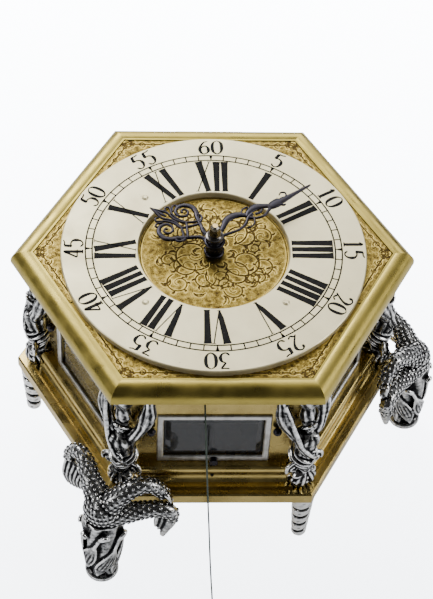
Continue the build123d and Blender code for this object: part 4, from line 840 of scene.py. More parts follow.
def ball(centre: Point, radii: Point, sides: int = 20, levels: int = 12) -> Shape:
    """Makes a closed ellipsoid.

    Args:
        centre: Its middle.
        radii: Its three radii.
        sides: Points around it.
        levels: Rings up it.

    Returns:
        The ellipsoid.
    """
    profile = [(sin(pi * step / levels), -cos(pi * step / levels)) for step in range(1, levels)]
    place = Matrix.Translation(centre) @ Matrix.Diagonal((*radii, 1.0))
    return turned(profile, sides).moved(place)


def ribbon(points: Sequence[Point], thick: float, level: float, steps: int = 8, dome: float = 0.0) -> Shape:
    """Makes a flat strap that follows points of x, y and half width.

    Args:
        points: Places on the strap, each with its half width.
        thick: The strap's thickness.
        level: The height of its underside.
        steps: Places for each stretch, or one for straight runs.
        dome: How much lower the edges are than the middle of the top.

    Returns:
        The closed strap.
    """
    line = smooth_line(points, steps) if steps > 1 else list(points)
    rings = []
    for index, (x, y, half) in enumerate(line):
        near, far = neighbours(line, index)
        ahead = Vector((far[0] - near[0], far[1] - near[1], 0)).normalized()
        across = Vector((-ahead.y, ahead.x, 0)) * max(half, 0.02)
        place = Vector((x, y, level))
        up = Vector((0, 0, 1))
        rings.append([
            place - across, place + across,
            place + across + up * (thick - dome), place + across * 0.45 + up * thick,
            place - across * 0.45 + up * thick, place - across + up * (thick - dome),
        ])
    return rings_to_shape(rings)


def placed(name: str, data: bpy.types.ID) -> Piece:
    """Makes an object and puts it in the scene.

    Args:
        name: The object's name.
        data: Its mesh, curve, light or camera.

    Returns:
        The object.
    """
    thing = bpy.data.objects.new(name, data)
    bpy.context.scene.collection.objects.link(thing)
    return thing


def make_piece(name: str, shape: Shape, material: Material, shade_smooth: bool = True) -> Piece:
    """Makes an object at the origin from a shape.

    Args:
        name: The piece's name.
        shape: Its shape in millimetres.
        material: Its finish.
        shade_smooth: Whether faces shade smoothly.

    Returns:
        The object.
    """
    mesh = bpy.data.meshes.new(name)
    mesh.from_pydata([point * MM for point in shape.points], [], shape.faces)
    mesh.update()
    tidy_mesh(mesh)
    mesh.materials.append(material)
    mesh.polygons.foreach_set("use_smooth", [shade_smooth] * len(mesh.polygons))
    return placed(name, mesh)


def tidy_mesh(mesh: Mesh, merge: bool = True) -> None:
    """Merges doubled points and turns the faces outwards.

    Args:
        mesh: The mesh that is tidied.
        merge: Whether doubled points are merged.
    """
    work = bmesh.new()
    work.from_mesh(mesh)
    if merge:
        bmesh.ops.remove_doubles(work, verts=work.verts, dist=MERGE_DISTANCE)
    bmesh.ops.recalc_face_normals(work, faces=work.faces)
    work.to_mesh(mesh)
    work.free()


def settle(piece: Piece) -> Piece:
    """Turns a piece's modifiers into its own mesh.

    Args:
        piece: The piece with modifiers.

    Returns:
        The same piece.
    """
    bpy.context.view_layer.update()
    seen = piece.evaluated_get(bpy.context.evaluated_depsgraph_get())
    mesh = bpy.data.meshes.new_from_object(seen)
    piece.modifiers.clear()
    piece.data = mesh
    return piece


def grown_together(name: str, shape: Shape, voxel: float, smoothing: int, material: Material) -> Piece:
    """Melts overlapping parts into one cast piece.

    Args:
        name: The piece's name.
        shape: The overlapping parts.
        voxel: The size of the detail that stays, in millimetres.
        smoothing: Rounds of smoothing.
        material: The piece's finish.

    Returns:
        The piece as one closed mesh.
    """
    piece = make_piece(name, shape, material)
    remesh = piece.modifiers.new("cast", "REMESH")
    remesh.mode = "VOXEL"
    remesh.voxel_size = voxel * MM
    remesh.use_smooth_shade = True
    smooth = piece.modifiers.new("fettle", "SMOOTH")
    smooth.factor = 0.5
    smooth.iterations = smoothing
    return settle(piece)


def measure_relief(piece: Piece, reach: int, gain: float, level: float) -> None:
    """Writes how far each point stands out from the surface around it.

    Args:
        piece: The piece whose mesh gets the relief attribute.
        reach: Rounds of averaging that set how wide a hollow counts.
        gain: Relief per millimetre of hollow or ridge.
        level: The relief of a flat place.
    """
    mesh = piece.data
    work = bmesh.new()
    work.from_mesh(mesh)
    work.verts.ensure_lookup_table()
    near = [[edge.other_vert(vert).index for edge in vert.link_edges] for vert in work.verts]
    normals = [vert.normal.copy() for vert in work.verts]
    start = [vert.co.copy() for vert in work.verts]
    flow = list(start)
    for _ in range(reach):
        flow = [sum((flow[other] for other in others), Vector()) / max(len(others), 1) for others in near]
    scale = gain / MM
    relief = [level + (place - spread).dot(normal) * scale for place, spread, normal in zip(start, flow, normals)]
    work.free()
    layer = mesh.attributes.new("relief", "FLOAT", "POINT")
    layer.data.foreach_set("value", [min(max(value, 0.0), 1.0) for value in relief])


def finish_piece(piece: Piece, body: Body, nodes: Iterable[str] = ()) -> Piece:
    """Puts a piece on its body.

    Args:
        piece: The finished piece.
        body: The body it rides on.
        nodes: The frame's nodes that it stands for.

    Returns:
        The piece.
    """
    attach(piece, body.value)
    if nodes:
        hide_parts(*nodes)
    triangles = sum(len(face.vertices) - 2 for face in piece.data.polygons) if piece.type == "MESH" else 0
    LOG.info("%s rides on %s, %d triangles", piece.name, body.value, triangles)
    return piece


# ---------------------------------------------------------------- geometry nodes


class RowMaker:
    """Geometry node trees that repeat a part around an axis or at marked places."""

    def __init__(self) -> None:
        """Builds both trees."""
        self.ring_tree = self.build_ring()
        self.sites_tree = self.build_sites()

    @staticmethod
    def shell(name: str, inputs: Sequence[tuple[str, str]]) -> tuple:
        """Makes an empty tree with named inputs.

        Args:
            name: The tree's name.
            inputs: Name and socket type of each input.

        Returns:
            The tree, its bench, its input node and its output node.
        """
        tree = bpy.data.node_groups.new(name, "GeometryNodeTree")
        tree.interface.new_socket(name="Geometry", in_out="INPUT", socket_type=GEOMETRY)
        for label, kind in inputs:
            tree.interface.new_socket(name=label, in_out="INPUT", socket_type=kind)
        tree.interface.new_socket(name="Geometry", in_out="OUTPUT", socket_type=GEOMETRY)
        return tree, NodeBench(tree), tree.nodes.new("NodeGroupInput"), tree.nodes.new("NodeGroupOutput")

    def build_ring(self) -> Tree:
        """Builds the tree that sets the piece's own mesh around the Z axis.

        Returns:
            The tree.
        """
        tree, bench, given, made = self.shell(
            "set_around_axis",
            (("Count", "NodeSocketInt"), ("Turn", NUMBER), ("Finish", FINISH)),
        )
        places = bench.add("GeometryNodeMeshCircle", Vertices=given.outputs["Count"], Radius=0.0)
        index = bench.add("GeometryNodeInputIndex").outputs[0]
        share = bench.add("ShaderNodeMath", {"operation": "DIVIDE"})
        bench.put(share, 0, index)
        bench.put(share, 1, given.outputs["Count"])
        angle = bench.add("ShaderNodeMath", {"operation": "MULTIPLY_ADD"})
        bench.put(angle, 0, share.outputs[0])
        bench.put(angle, 1, 2 * pi)
        bench.put(angle, 2, given.outputs["Turn"])
        spin = bench.add("ShaderNodeCombineXYZ", Z=angle.outputs[0])
        placed = bench.add(
            "GeometryNodeInstanceOnPoints", Points=places.outputs["Mesh"], Instance=given.outputs["Geometry"],
            Rotation=spin.outputs[0],
        )
        self.close(bench, placed.outputs["Instances"], given, made)
        return tree

    def build_sites(self) -> Tree:
        """Builds the tree that sets a scale at each marked place on a skin.

        Returns:
            The tree.
        """
        tree, bench, given, made = self.shell(
            "set_on_sites",
            (("Scale Piece", "NodeSocketObject"), ("Size", NUMBER), ("Finish", FINISH)),
        )
        out = bench.add("GeometryNodeInputNamedAttribute", {"data_type": "FLOAT_VECTOR"}, Name="facing").outputs[0]
        along = bench.add("GeometryNodeInputNamedAttribute", {"data_type": "FLOAT_VECTOR"}, Name="heading").outputs[0]
        girth = bench.add("GeometryNodeInputNamedAttribute", {"data_type": "FLOAT"}, Name="girth").outputs[0]
        up = bench.add("FunctionNodeAlignRotationToVector", {"axis": "Z"}, Vector=out)
        headed = bench.add(
            "FunctionNodeAlignRotationToVector", {"axis": "X", "pivot_axis": "Z"}, Rotation=up.outputs[0], Vector=along,
        )
        size = bench.maths("MULTIPLY", girth, given.outputs["Size"])
        source = bench.add("GeometryNodeObjectInfo", Object=given.outputs["Scale Piece"])
        placed = bench.add(
            "GeometryNodeInstanceOnPoints", Points=given.outputs["Geometry"], Instance=source.outputs["Geometry"],
            Rotation=headed.outputs[0], Scale=size,
        )
        self.close(bench, placed.outputs["Instances"], given, made)
        return tree

    @staticmethod
    def close(bench: NodeBench, instances: Socket, given: Node, made: Node) -> None:
        """Ends a tree in Realize Instances and Set Material.

        Args:
            bench: The tree's bench.
            instances: The placed parts.
            given: The tree's input node.
            made: The tree's output node.
        """
        real = bench.add("GeometryNodeRealizeInstances", Geometry=instances)
        dressed = bench.add("GeometryNodeSetMaterial", Geometry=real.outputs[0], Material=given.outputs["Finish"])
        bench.put(made, "Geometry", dressed.outputs[0])

    @staticmethod
    def run(piece: Piece, tree: Tree, values: dict[str, object]) -> Piece:
        """Runs a tree on a piece and keeps the result as its mesh.

        Args:
            piece: The piece that the tree works on.
            tree: The tree.
            values: Values by input name.

        Returns:
            The piece.
        """
        modifier = piece.modifiers.new(tree.name, "NODES")
        modifier.node_group = tree
        sockets = {
            item.name: item.identifier
            for item in tree.interface.items_tree
            if item.item_type == "SOCKET" and item.in_out == "INPUT"
        }
        for name, value in values.items():
            modifier[sockets[name]] = value
        return settle(piece)

    def around(self, piece: Piece, count: int, turn: float, material: Material) -> Piece:
        """Repeats a piece around the Z axis.

        Args:
            piece: The piece with one part in place.
            count: How many parts.
            turn: Angle of the first part past its place, in radians.
            material: The finish.

        Returns:
            The piece with every part.
        """
        return self.run(piece, self.ring_tree, {"Count": count, "Turn": turn, "Finish": material})

    def on_sites(self, sites: Piece, scale_piece: Piece, size: float, material: Material) -> Piece:
        """Sets a part on every marked place.

        Args:
            sites: The mesh of places with facing, heading and girth.
            scale_piece: The part.
            size: A factor on each place's girth.
            material: The finish.

        Returns:
            The object with every part.
        """
        return self.run(sites, self.sites_tree, {"Scale Piece": scale_piece, "Size": size, "Finish": material})


# ---------------------------------------------------------------- studio


@dataclass
class Studio:
    """The camera, lights, floor and surroundings."""

    azimuth: float = -4.31
    elevation: float = 50.81
    roll: float = 3.52
    target: Point = (0.21, -22.1, 98.3)
    distance: float = 598.8
    lens: float = 108.55
    sensor: float = 36.0
    near_clip: float = 0.01
    far_clip: float = 50.0
    floor_half: float = 3000.0
    floor_level: float = -0.05

    def build(self, floor_finish: Material) -> None:
        """Sets up everything round the clock.

        Args:
            floor_finish: The floor's material.
        """
        self.add_camera()
        self.add_floor(floor_finish)
        self.add_lights()
        self.add_surroundings()

    def add_camera(self) -> None:
        """Places the camera."""
        turn, lift = radians(self.azimuth), radians(self.elevation)
        back = Vector((sin(turn) * cos(lift), -cos(turn) * cos(lift), sin(lift)))
        right = (-back).cross(Vector((0, 0, 1))).normalized()
        up = right.cross(-back)
        level, tip = cos(radians(self.roll)), sin(radians(self.roll))
        right, up = right * level + up * tip, up * level - right * tip
        data = bpy.data.cameras.new("camera")
        data.sensor_width = self.sensor
        data.lens = self.lens
        data.clip_start = self.near_clip
        data.clip_end = self.far_clip
        camera = placed("camera", data)
        place = (Vector(self.target) + back * self.distance) * MM
        camera.matrix_world = Matrix((
            (right.x, up.x, back.x, place.x), (right.y, up.y, back.y, place.y),
            (right.z, up.z, back.z, place.z), (0, 0, 0, 1),
        ))
        bpy.context.scene.camera = camera

    def add_floor(self, material: Material) -> None:
        """Lays the pale floor.

        Args:
            material: The floor's finish.
        """
        half = self.floor_half
        corners = ((-half, -half), (half, -half), (half, half), (-half, half))
        shape = Shape([Vector((x, y, self.floor_level)) for x, y in corners], [(0, 1, 2, 3)])
        floor = make_piece("studio_floor", shape, material, shade_smooth=False)

    @staticmethod
    def add_lights() -> None:
        """Hangs soft boxes above, behind and in front of the clock."""
        boxes = (
            ("light_overhead", (-0.5, 0.95, 0.95), (0.0, 0.0, 0.08), 0.75, 20.0),
            ("light_front_left", (-1.1, -0.5, 0.65), (0.0, 0.0, 0.06), 0.5, 4.5),
            ("light_right", (1.0, -0.2, 0.6), (0.0, 0.0, 0.06), 0.6, 7.0),
            ("light_back", (0.2, 1.1, 0.7), (0.0, 0.0, 0.06), 0.8, 7.0),
        )
        for name, place, aim, size, power in boxes:
            data = bpy.data.lights.new(name, "AREA")
            data.shape = "SQUARE"
            data.size = size
            data.energy = power
            lamp = placed(name, data)
            lamp.location = place
            lamp.rotation_euler = (Vector(aim) - Vector(place)).to_track_quat("-Z", "Y").to_euler()

    @staticmethod
    def add_surroundings() -> None:
        """Gives the clock a room to reflect, bright above and behind and dark in front."""
        world = bpy.data.worlds.new("white_room")
        bpy.context.scene.world = world
        world.use_nodes = True
        world.node_tree.nodes.clear()
        bench = NodeBench(world.node_tree)
        way = bench.add("ShaderNodeTexCoord").outputs["Generated"]
        split = bench.add("ShaderNodeSeparateXYZ", Vector=way)
        height = bench.ranged(split.outputs["Z"], 0.1, 0.9, 0.0, 1.0)
        room = bench.blend(height, (0.06, 0.06, 0.065, 1), (0.95, 0.96, 1.0, 1))
        front = bench.ranged(split.outputs["Y"], -0.1, 0.6, 1.0, 0.0)
        room = bench.blend(front, room, (0.07, 0.07, 0.068, 1))
        seen = bench.add("ShaderNodeLightPath").outputs["Is Camera Ray"]
        colour = bench.blend(seen, room, (1.0, 1.0, 1.0, 1))
        sky = bench.add("ShaderNodeBackground", Color=colour, Strength=1.0)
        out = bench.add("ShaderNodeOutputWorld")
        bench.put(out, "Surface", sky.outputs[0])


# ---------------------------------------------------------------- cord


@dataclass
class PullCord:
    """The thin cord that hangs from the front wall and lies on the table."""

    diameter: float = 0.6
    length: float = 109.7
    knot_radius: float = 0.9
    knot_length: float = 2.2
    knot_steps: int = 24
    route: tuple[Point, ...] = (
        (-3.7, -51.6, 80.0), (-3.6, -56.2, 79.0), (-3.4, -60.6, 74.6), (-3.0, -62.9, 67.0),
        (-2.3, -63.4, 53.0), (-1.5, -63.7, 38.0), (-0.6, -64.2, 22.5), (0.1, -66.2, 9.0),
        (0.6, -71.0, 1.8), (0.9, -78.0, 0.32), (1.0, -87.0, 0.31), (1.7, -95.5, 0.31),
    )

    def build(self, paints: Paintbox) -> None:
        """Makes the cord and its knot.

        Args:
            paints: The finishes.
        """
        knot = self.make_knot(paints)
        curve = bpy.data.curves.new("clock_cord", "CURVE")
        curve.dimensions = "3D"
        curve.bevel_depth = self.diameter / 2 * MM
        curve.bevel_resolution = 3
        curve.use_fill_caps = True
        curve.resolution_u = 16
        spline = curve.splines.new("NURBS")
        spline.points.add(len(self.route) - 1)
        for place, point in zip(self.route, spline.points):
            point.co = (*(part * MM for part in place), 1.0)
        spline.order_u = 3
        spline.use_endpoint_u = True
        curve.materials.append(paints.of(Slot.CORD_FIBRE))
        cord = placed("clock_cord", curve)
        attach(cord, Body.CASE.value)
        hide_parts("pull_cord")
        LOG.info("clock_cord hangs from the front wall")

    def make_knot(self, paints: Paintbox) -> Piece:
        """Makes the overhand knot at the cord's end.

        Args:
            paints: The finishes.

        Returns:
            The knot.
        """
        end = Vector(self.route[-1])
        ahead = (end - Vector(self.route[-2])).normalized()
        side = Vector((-ahead.y, ahead.x, 0.0))
        strand = self.diameter / 2
        wide = self.knot_radius - strand
        middle = end + ahead * (self.knot_length / 2 - 0.3)
        middle.z = self.knot_radius - 0.58
        loops = []
        for step in range(self.knot_steps + 1):
            angle = 4 * pi * step / self.knot_steps
            reach = (step / self.knot_steps - 0.5) * self.knot_length * 0.62
            lift = Vector((0, 0, 1)) * (sin(angle) * wide * 0.6 + wide * 0.62)
            loops.append((*(middle + ahead * reach + side * cos(angle) * wide + lift), strand))
        shape = tube(loops, sides=10, steps=3)
        piece = make_piece("cord_end_knot", shape, paints.of(Slot.CORD_FIBRE))
        return finish_piece(piece, Body.CASE, ("cord_knot",))


# ---------------------------------------------------------------- dial


@dataclass
class ChapterRing:
    """The hour and minute figures of the silvered ring."""

    top: float
    inner: float = 26.5
    outer: float = 40.6
    track_in: float = 41.3
    track_out: float = 43.6
    minute_middle: float = 47.7
    minute_tall: float = 6.5
    digit_wide: float = 0.70
    thick_bar: float = 1.22
    thin_bar: float = 0.2
    bar_pitch: float = 2.85
    v_wide: float = 6.2
    x_wide: float = 6.4
    foot_reach: float = 0.7
    foot_half: float = 0.11
    digit_hair: float = 0.25
    digit_swell: float = 0.36
    circle_half: float = 0.25
    circle_sides: int = 240
    minute_half: float = 0.22
    proud: float = 0.03
    sunk: float = 0.06

    def build(self, paints: Paintbox, rows: RowMaker) -> None:
        """Makes every numeral and the minute track.

        Args:
            paints: The finishes.
            rows: The trees that repeat marks.
        """
        shape = Shape.empty()
        numerals = ("XII", "I", "II", "III", "IIII", "V", "VI", "VII", "VIII", "IX", "X", "XI")
        for hour, letters in enumerate(numerals):
            shape.add(self.hour_numeral(letters).moved(self.facing(hour / 12)))
        for mark in range(1, 13):
            shape.add(self.minute_number(str(5 * mark)).moved(self.facing(mark / 12)))
        for radius in (self.track_in, self.track_out):
            shape.add(self.circle_line(radius, self.circle_half))
        finish_piece(make_piece("ring_figures", shape, paints.wax, shade_smooth=False), Body.COVER)
        self.add_marks(paints, rows)

    def level(self) -> float:
        """Returns the height at which the wax starts."""
        return self.top - self.sunk

    def depth(self) -> float:
        """Returns the wax's thickness."""
        return self.sunk + self.proud

    @staticmethod
    def facing(share: float) -> Matrix:
        """Returns the clockwise turn for a share of the dial."""
        return Matrix.Rotation(-2 * pi * share, 4, "Z")

    def hour_numeral(self, letters: str) -> Shape:
        """Draws one Roman numeral at the top of the dial.

        Args:
            letters: The numeral.

        Returns:
            Its strokes.
        """
        widths = {"I": self.bar_pitch, "V": self.v_wide, "X": self.x_wide}
        total = sum(widths[letter] for letter in letters)
        shape, left = Shape.empty(), -total / 2
        for letter in letters:
            middle = left + widths[letter] / 2
            if letter == "I":
                shape.add(self.thick_stroke((middle, self.inner), (middle, self.outer)))
            elif letter == "V":
                shape.add(self.thick_stroke((middle + 0.5, self.inner), (middle - 1.9, self.outer), pointed=True))
                shape.add(self.thin_stroke((middle + 0.5, self.inner + 0.4), (middle + 2.5, self.outer)))
            else:
                shape.add(self.thick_stroke((middle + 1.7, self.inner), (middle - 1.7, self.outer)))
                shape.add(self.thin_stroke((middle - 2.0, self.inner), (middle + 2.1, self.outer)))
            left += widths[letter]
        return shape

    def thick_stroke(self, low: tuple[float, float], high: tuple[float, float], pointed: bool = False) -> Shape:
        """Draws a broad stroke that widens outwards, with slightly flared ends.

        Args:
            low: Its inner end.
            high: Its outer end.
            pointed: Whether the inner end comes to a point.

        Returns:
            The stroke.
        """
        inner = (0.12, 0.3, 0.72) if pointed else (0.9, 0.76, 0.8)
        stops = zip((0.0, 0.05, 0.25, 0.9, 1.0), (*inner, 0.98, 1.14))
        (x, y), run, rise = low, high[0] - low[0], high[1] - low[1]
        points = [(x + run * t, y + rise * t, self.thick_bar * wide) for t, wide in stops]
        return ribbon(points, self.depth(), self.level(), steps=1)

    def thin_stroke(self, low: tuple[float, float], high: tuple[float, float]) -> Shape:
        """Draws a hair line with small feet.

        Args:
            low: Its inner end.
            high: Its outer end.

        Returns:
            The stroke.
        """
        shape = ribbon([(*low, self.thin_bar), (*high, self.thin_bar)], self.depth(), self.level(), steps=1)
        for x, y in (low, high):
            foot = [(x - self.foot_reach, y, self.foot_half), (x + self.foot_reach, y, self.foot_half)]
            shape.add(ribbon(foot, self.depth(), self.level(), steps=1))
        return shape

    def minute_number(self, digits: str) -> Shape:
        """Draws a minute number at the top of the dial.

        Args:
            digits: The number.

        Returns:
            Its strokes.
        """
        wide = self.minute_tall * self.digit_wide
        shape, left = Shape.empty(), -wide * len(digits) / 2
        for digit in digits:
            for stroke in DIGIT_STROKES[digit]:
                line = smooth_line(stroke, 7)
                points = []
                for index, (x, y) in enumerate(line):
                    near, far = neighbours(line, index)
                    run = hypot(far[0] - near[0], far[1] - near[1]) or 1.0
                    upright = abs(far[1] - near[1]) / run
                    slant = (far[0] - near[0]) * (far[1] - near[1]) / run ** 2
                    half = self.digit_hair + self.digit_swell * max(upright ** 1.6 - 0.55 * max(slant, 0.0), 0.0)
                    taper = min(1.0, 0.45 + 5 * min(index, len(line) - 1 - index) / len(line))
                    across = left + wide * 0.5 + (x - 0.5) * wide * 0.84
                    points.append((across, self.minute_middle + (y - 0.5) * self.minute_tall, half * taper))
                shape.add(ribbon(points, self.depth(), self.level(), steps=1))
            left += wide
        return shape

    def circle_line(self, radius: float, half: float) -> Shape:
        """Draws one circle of the minute track.

        Args:
            radius: The circle's radius.
            half: Half the line's width.

        Returns:
            The closed line.
        """
        low, high, near, far = self.level(), self.top + self.proud, radius - half, radius + half
        return washer(((near, low), (far, low), (far, high), (near, high)), self.circle_sides)

    def add_marks(self, paints: Paintbox, rows: RowMaker) -> None:
        """Repeats the minute lines and the bolder marks at the fives.

        Args:
            paints: The finishes.
            rows: The trees that repeat marks.
        """
        line = ribbon(
            [(0, radius, self.minute_half) for radius in (self.track_in, self.track_out)],
            self.depth(), self.level(), steps=1,
        )
        minutes = make_piece("minute_lines", line, paints.wax, shade_smooth=False)
        rows.around(minutes, 60, 0.0, paints.wax)
        finish_piece(minutes, Body.COVER)
        base, tip = self.track_out + 0.1, self.track_out - 1.9
        wedge = ribbon(
            [(0, tip, 0.1), (0, (base + tip) / 2, 0.42), (0, base, 0.62)], self.depth(), self.level(), steps=1,
        )
        fives = make_piece("five_minute_marks", wedge, paints.wax, shade_smooth=False)
        rows.around(fives, 12, 0.0, paints.wax)
        finish_piece(fives, Body.COVER)


DIGIT_STROKES: dict[str, tuple[tuple[tuple[float, float], ...], ...]] = {
    "0": (
        (
            (0.5, 1.0), (0.16, 0.84), (0.06, 0.5), (0.16, 0.16), (0.5, 0.0), (0.84, 0.16), (0.94, 0.5), (0.84, 0.84),
            (0.5, 1.0),
        ),
    ),
    "1": (
        ((0.5, 0.0), (0.5, 0.33), (0.5, 0.66), (0.5, 1.0)), ((0.22, 0.82), (0.38, 0.88), (0.5, 1.0)),
        ((0.25, 0.0), (0.75, 0.0)),
    ),
    "2": (
        ((0.14, 0.74), (0.2, 0.92), (0.48, 1.0), (0.8, 0.88), (0.82, 0.66), (0.56, 0.36), (0.1, 0.03)),
        ((0.1, 0.03), (0.34, 0.1), (0.64, 0.0), (0.92, 0.14)),
    ),
    "3": (
        ((0.14, 0.97), (0.5, 0.95), (0.84, 0.97)), ((0.84, 0.97), (0.62, 0.78), (0.42, 0.6)),
        ((0.42, 0.6), (0.76, 0.52), (0.88, 0.28), (0.7, 0.05), (0.36, 0.0), (0.1, 0.14)),
    ),
    "4": (
        ((0.72, 0.0), (0.72, 0.33), (0.72, 0.66), (0.72, 1.0)), ((0.72, 1.0), (0.4, 0.62), (0.06, 0.28)),
        ((0.06, 0.28), (0.5, 0.28), (0.96, 0.28)), ((0.5, 0.0), (0.94, 0.0)),
    ),
    "5": (
        ((0.24, 0.97), (0.56, 0.95), (0.88, 1.02)), ((0.24, 0.97), (0.2, 0.76), (0.17, 0.56)),
        ((0.17, 0.56), (0.46, 0.63), (0.8, 0.52), (0.88, 0.28), (0.7, 0.05), (0.36, 0.0), (0.1, 0.14)),
    ),
    "6": (
        (
            (0.82, 0.94), (0.46, 0.86), (0.16, 0.56), (0.1, 0.28), (0.28, 0.04), (0.56, 0.0), (0.86, 0.16),
            (0.86, 0.42), (0.62, 0.58), (0.32, 0.52), (0.13, 0.34),
        ),
    ),
}


@dataclass
class Scroll:
    """One stroke of engraving: a line with a width at each place."""

    line: list[tuple[float, float, float]]


@dataclass
class DialEngraving:
    """The scrolls cut into the gilt dial, inside the ring and in its corners."""

    top: float
    hole: float = 4.2
    disc: float = 25.6
    ring_outer: float = 52.0
    hex_corner: float = 61.1
    border_corner: float = 58.8
    ground: float = 0.16
    cut: float = 0.11
    reach: float = 1.4
    rim: float = 25.1
    rim_half: float = 0.12
    border_half: float = 0.17
    search_step: float = 0.12
    foot: float = 0.1
    foot_relief: float = 0.3
    disc_grid: tuple[int, int] = (118, 660)
    corner_grid: tuple[int, int] = (34, 150)
    corner_angle: float = 24.5

    def build(self, paints: Paintbox) -> None:
        """Makes the engraved disc and the six engraved corners.

        Args:
            paints: The finishes.
        """
        finish = paints.of(Slot.GILT_DIAL)
        disc = self.disc_piece(finish)
        finish_piece(disc, Body.COVER)
        corners = self.corner_piece(finish)
        finish_piece(corners, Body.COVER)

    def spiral(
        self, x: float, y: float, heading: float, size: float, turn: int, width: float, depth: int,
    ) -> list[Scroll]:
        """Draws an acanthus scroll that winds inwards, with leaves outside it.

        Args:
            x: Where it starts.
            y: Where it starts.
            heading: Its first direction, in radians.
            size: Its first radius of bend.
            turn: One for left, minus one for right.
            width: Its half width at the root.
            depth: How many smaller scrolls branch from it.

        Returns:
            Its strokes.
        """
        strokes: list[Scroll] = []
        line: list[tuple[float, float, float]] = []
        angle, steps, swept = heading, 70, 2 * pi * 1.45
        for step in range(steps + 1):
            share = step / steps
            line.append((x, y, width * (1 - 0.6 * share) * (0.6 + 0.4 * sin(pi * min(share * 1.6, 1)))))
            bend = size * (1 - share) ** 0.85 + size * 0.06
            length = swept / steps * bend
            x += cos(angle) * length
            y += sin(angle) * length
            angle += turn * swept / steps
            if step in (8, 16, 24, 32, 40) and size > 1.4:
                strokes += self.leaf(x, y, angle - turn * 0.9, size * (0.62 - 0.008 * step), -turn, width * 0.7)
            if step in (14, 30) and depth > 0:
                strokes += self.spiral(x, y, angle - turn * 0.75, size * 0.42, -turn, width * 0.75, depth - 1)
        strokes.insert(0, Scroll(line))
        return strokes

    @staticmethod
    def leaf(x: float, y: float, heading: float, length: float, turn: int, width: float) -> list[Scroll]:
        """Draws one lobe of a leaf with a vein.

        Args:
            x: Its root.
            y: Its root.
            heading: Its first direction, in radians.
            length: Its length.
            turn: Which way it curls.
            width: Its half width.

        Returns:
            Its two edges and its vein.
        """
        strokes = []
        for spread, share in ((0.32, 1.0), (-0.2, 0.95), (0.02, 0.7)):
            line, px, py, angle = [], x, y, heading + spread
            for step in range(9):
                t = step / 8
                line.append((px, py, width * (0.35 + 0.55 * sin(pi * t))))
                px += cos(angle) * length * share / 8
                py += sin(angle) * length * share / 8
                angle += turn * (0.26 - 0.05 * spread) - spread * 0.09
            strokes.append(Scroll(line))
        return strokes

    def disc_scrolls(self) -> list[Scroll]:
        """Draws the disc's pattern: big facing scrolls with smaller ones between.

        Returns:
            Its strokes.
        """
        strokes: list[Scroll] = []
        placed = (
            (-3.5, -7.0, 200, 5.6, -1), (-2.5, -8.5, 250, 3.6, 1), (4.0, -6.5, 300, 5.2, 1), (7.0, -4.0, 350, 4.2, -1),
            (7.5, 4.0, 20, 4.8, 1), (4.5, 8.0, 70, 4.4, -1), (-2.0, 8.5, 100, 4.6, 1), (-7.0, 6.0, 150, 4.8, -1),
            (-8.0, -1.0, 175, 4.0, 1), (0.5, -10.5, 275, 3.2, -1), (13.0, -8.5, 320, 3.4, 1), (13.5, 10.0, 45, 3.2, -1),
            (-12.5, 12.5, 130, 3.0, 1), (-14.0, -9.5, 215, 3.4, 1), (1.5, 15.0, 80, 3.2, 1), (3.0, -17.0, 290, 2.8, 1),
        )
        for x, y, heading, size, turn in placed:
            strokes += self.spiral(
                x, y, radians(heading), size * 1.2, turn, 0.3 if size > 4 else 0.22, 1 if size > 4 else 0,
            )
        for leaf in range(12):
            angle = radians(30 * leaf + 8)
            strokes += self.leaf(5.0 * cos(angle), 5.0 * sin(angle), angle + 0.2, 3.6, 1 if leaf % 2 else -1, 0.18)
            strokes += self.leaf(19.0 * cos(angle), 19.0 * sin(angle), angle + 0.9, 4.6, -1 if leaf % 2 else 1, 0.16)
        turns = [degrees / 180 * pi for degrees in range(0, 361, 2)]
        strokes.append(Scroll([(self.rim * cos(a), self.rim * sin(a), self.rim_half) for a in turns]))
        return strokes

    def corner_scrolls(self) -> list[Scroll]:
        """Draws the pattern of the corner that points along X.

        Returns:
            Its strokes.
        """
        strokes: list[Scroll] = []
        for side in (1, -1):
            strokes += self.spiral(56.6, side * 0.5, side * 1.25, 1.7, -side, 0.2, 1)
            strokes += self.spiral(54.9, side * 3.6, side * 1.9, 1.25, -side, 0.17, 0)
            strokes += self.spiral(53.4, side * 7.2, side * 1.9, 0.9, -side, 0.15, 0)
            strokes += self.spiral(51.9, side * 10.6, side * 1.95, 0.7, -side, 0.13, 0)
            strokes += self.leaf(57.0, side * 0.25, side * 0.25, 2.2, side, 0.15)
            end = Vector((cos(pi / 3), side * sin(pi / 3))) * self.border_corner
            run = [
                (self.border_corner + (end.x - self.border_corner) * t / 40, end.y * t / 40, self.border_half)
                for t in range(21)
            ]
            strokes.append(Scroll(run))
        return strokes

    def cutter(self, strokes: Sequence[Scroll]) -> tuple[kdtree.KDTree, list[float]]:
        """Sorts the strokes' places for quick search.

        Args:
            strokes: The strokes.

        Returns:
            The tree of places and the half width at each.
        """
        places, widths = [], []
        for stroke in strokes:
            for (x0, y0, w0), (x1, y1, w1) in zip(stroke.line, stroke.line[1:]):
                count = max(1, int(hypot(x1 - x0, y1 - y0) / self.search_step))
                for step in range(count):
                    t = step / count
                    places.append((x0 + (x1 - x0) * t, y0 + (y1 - y0) * t, 0.0))
                    widths.append(w0 + (w1 - w0) * t)
        tree = kdtree.KDTree(len(places))
        for index, place in enumerate(places):
            tree.insert(place, index)
        tree.balance()
        return tree, widths

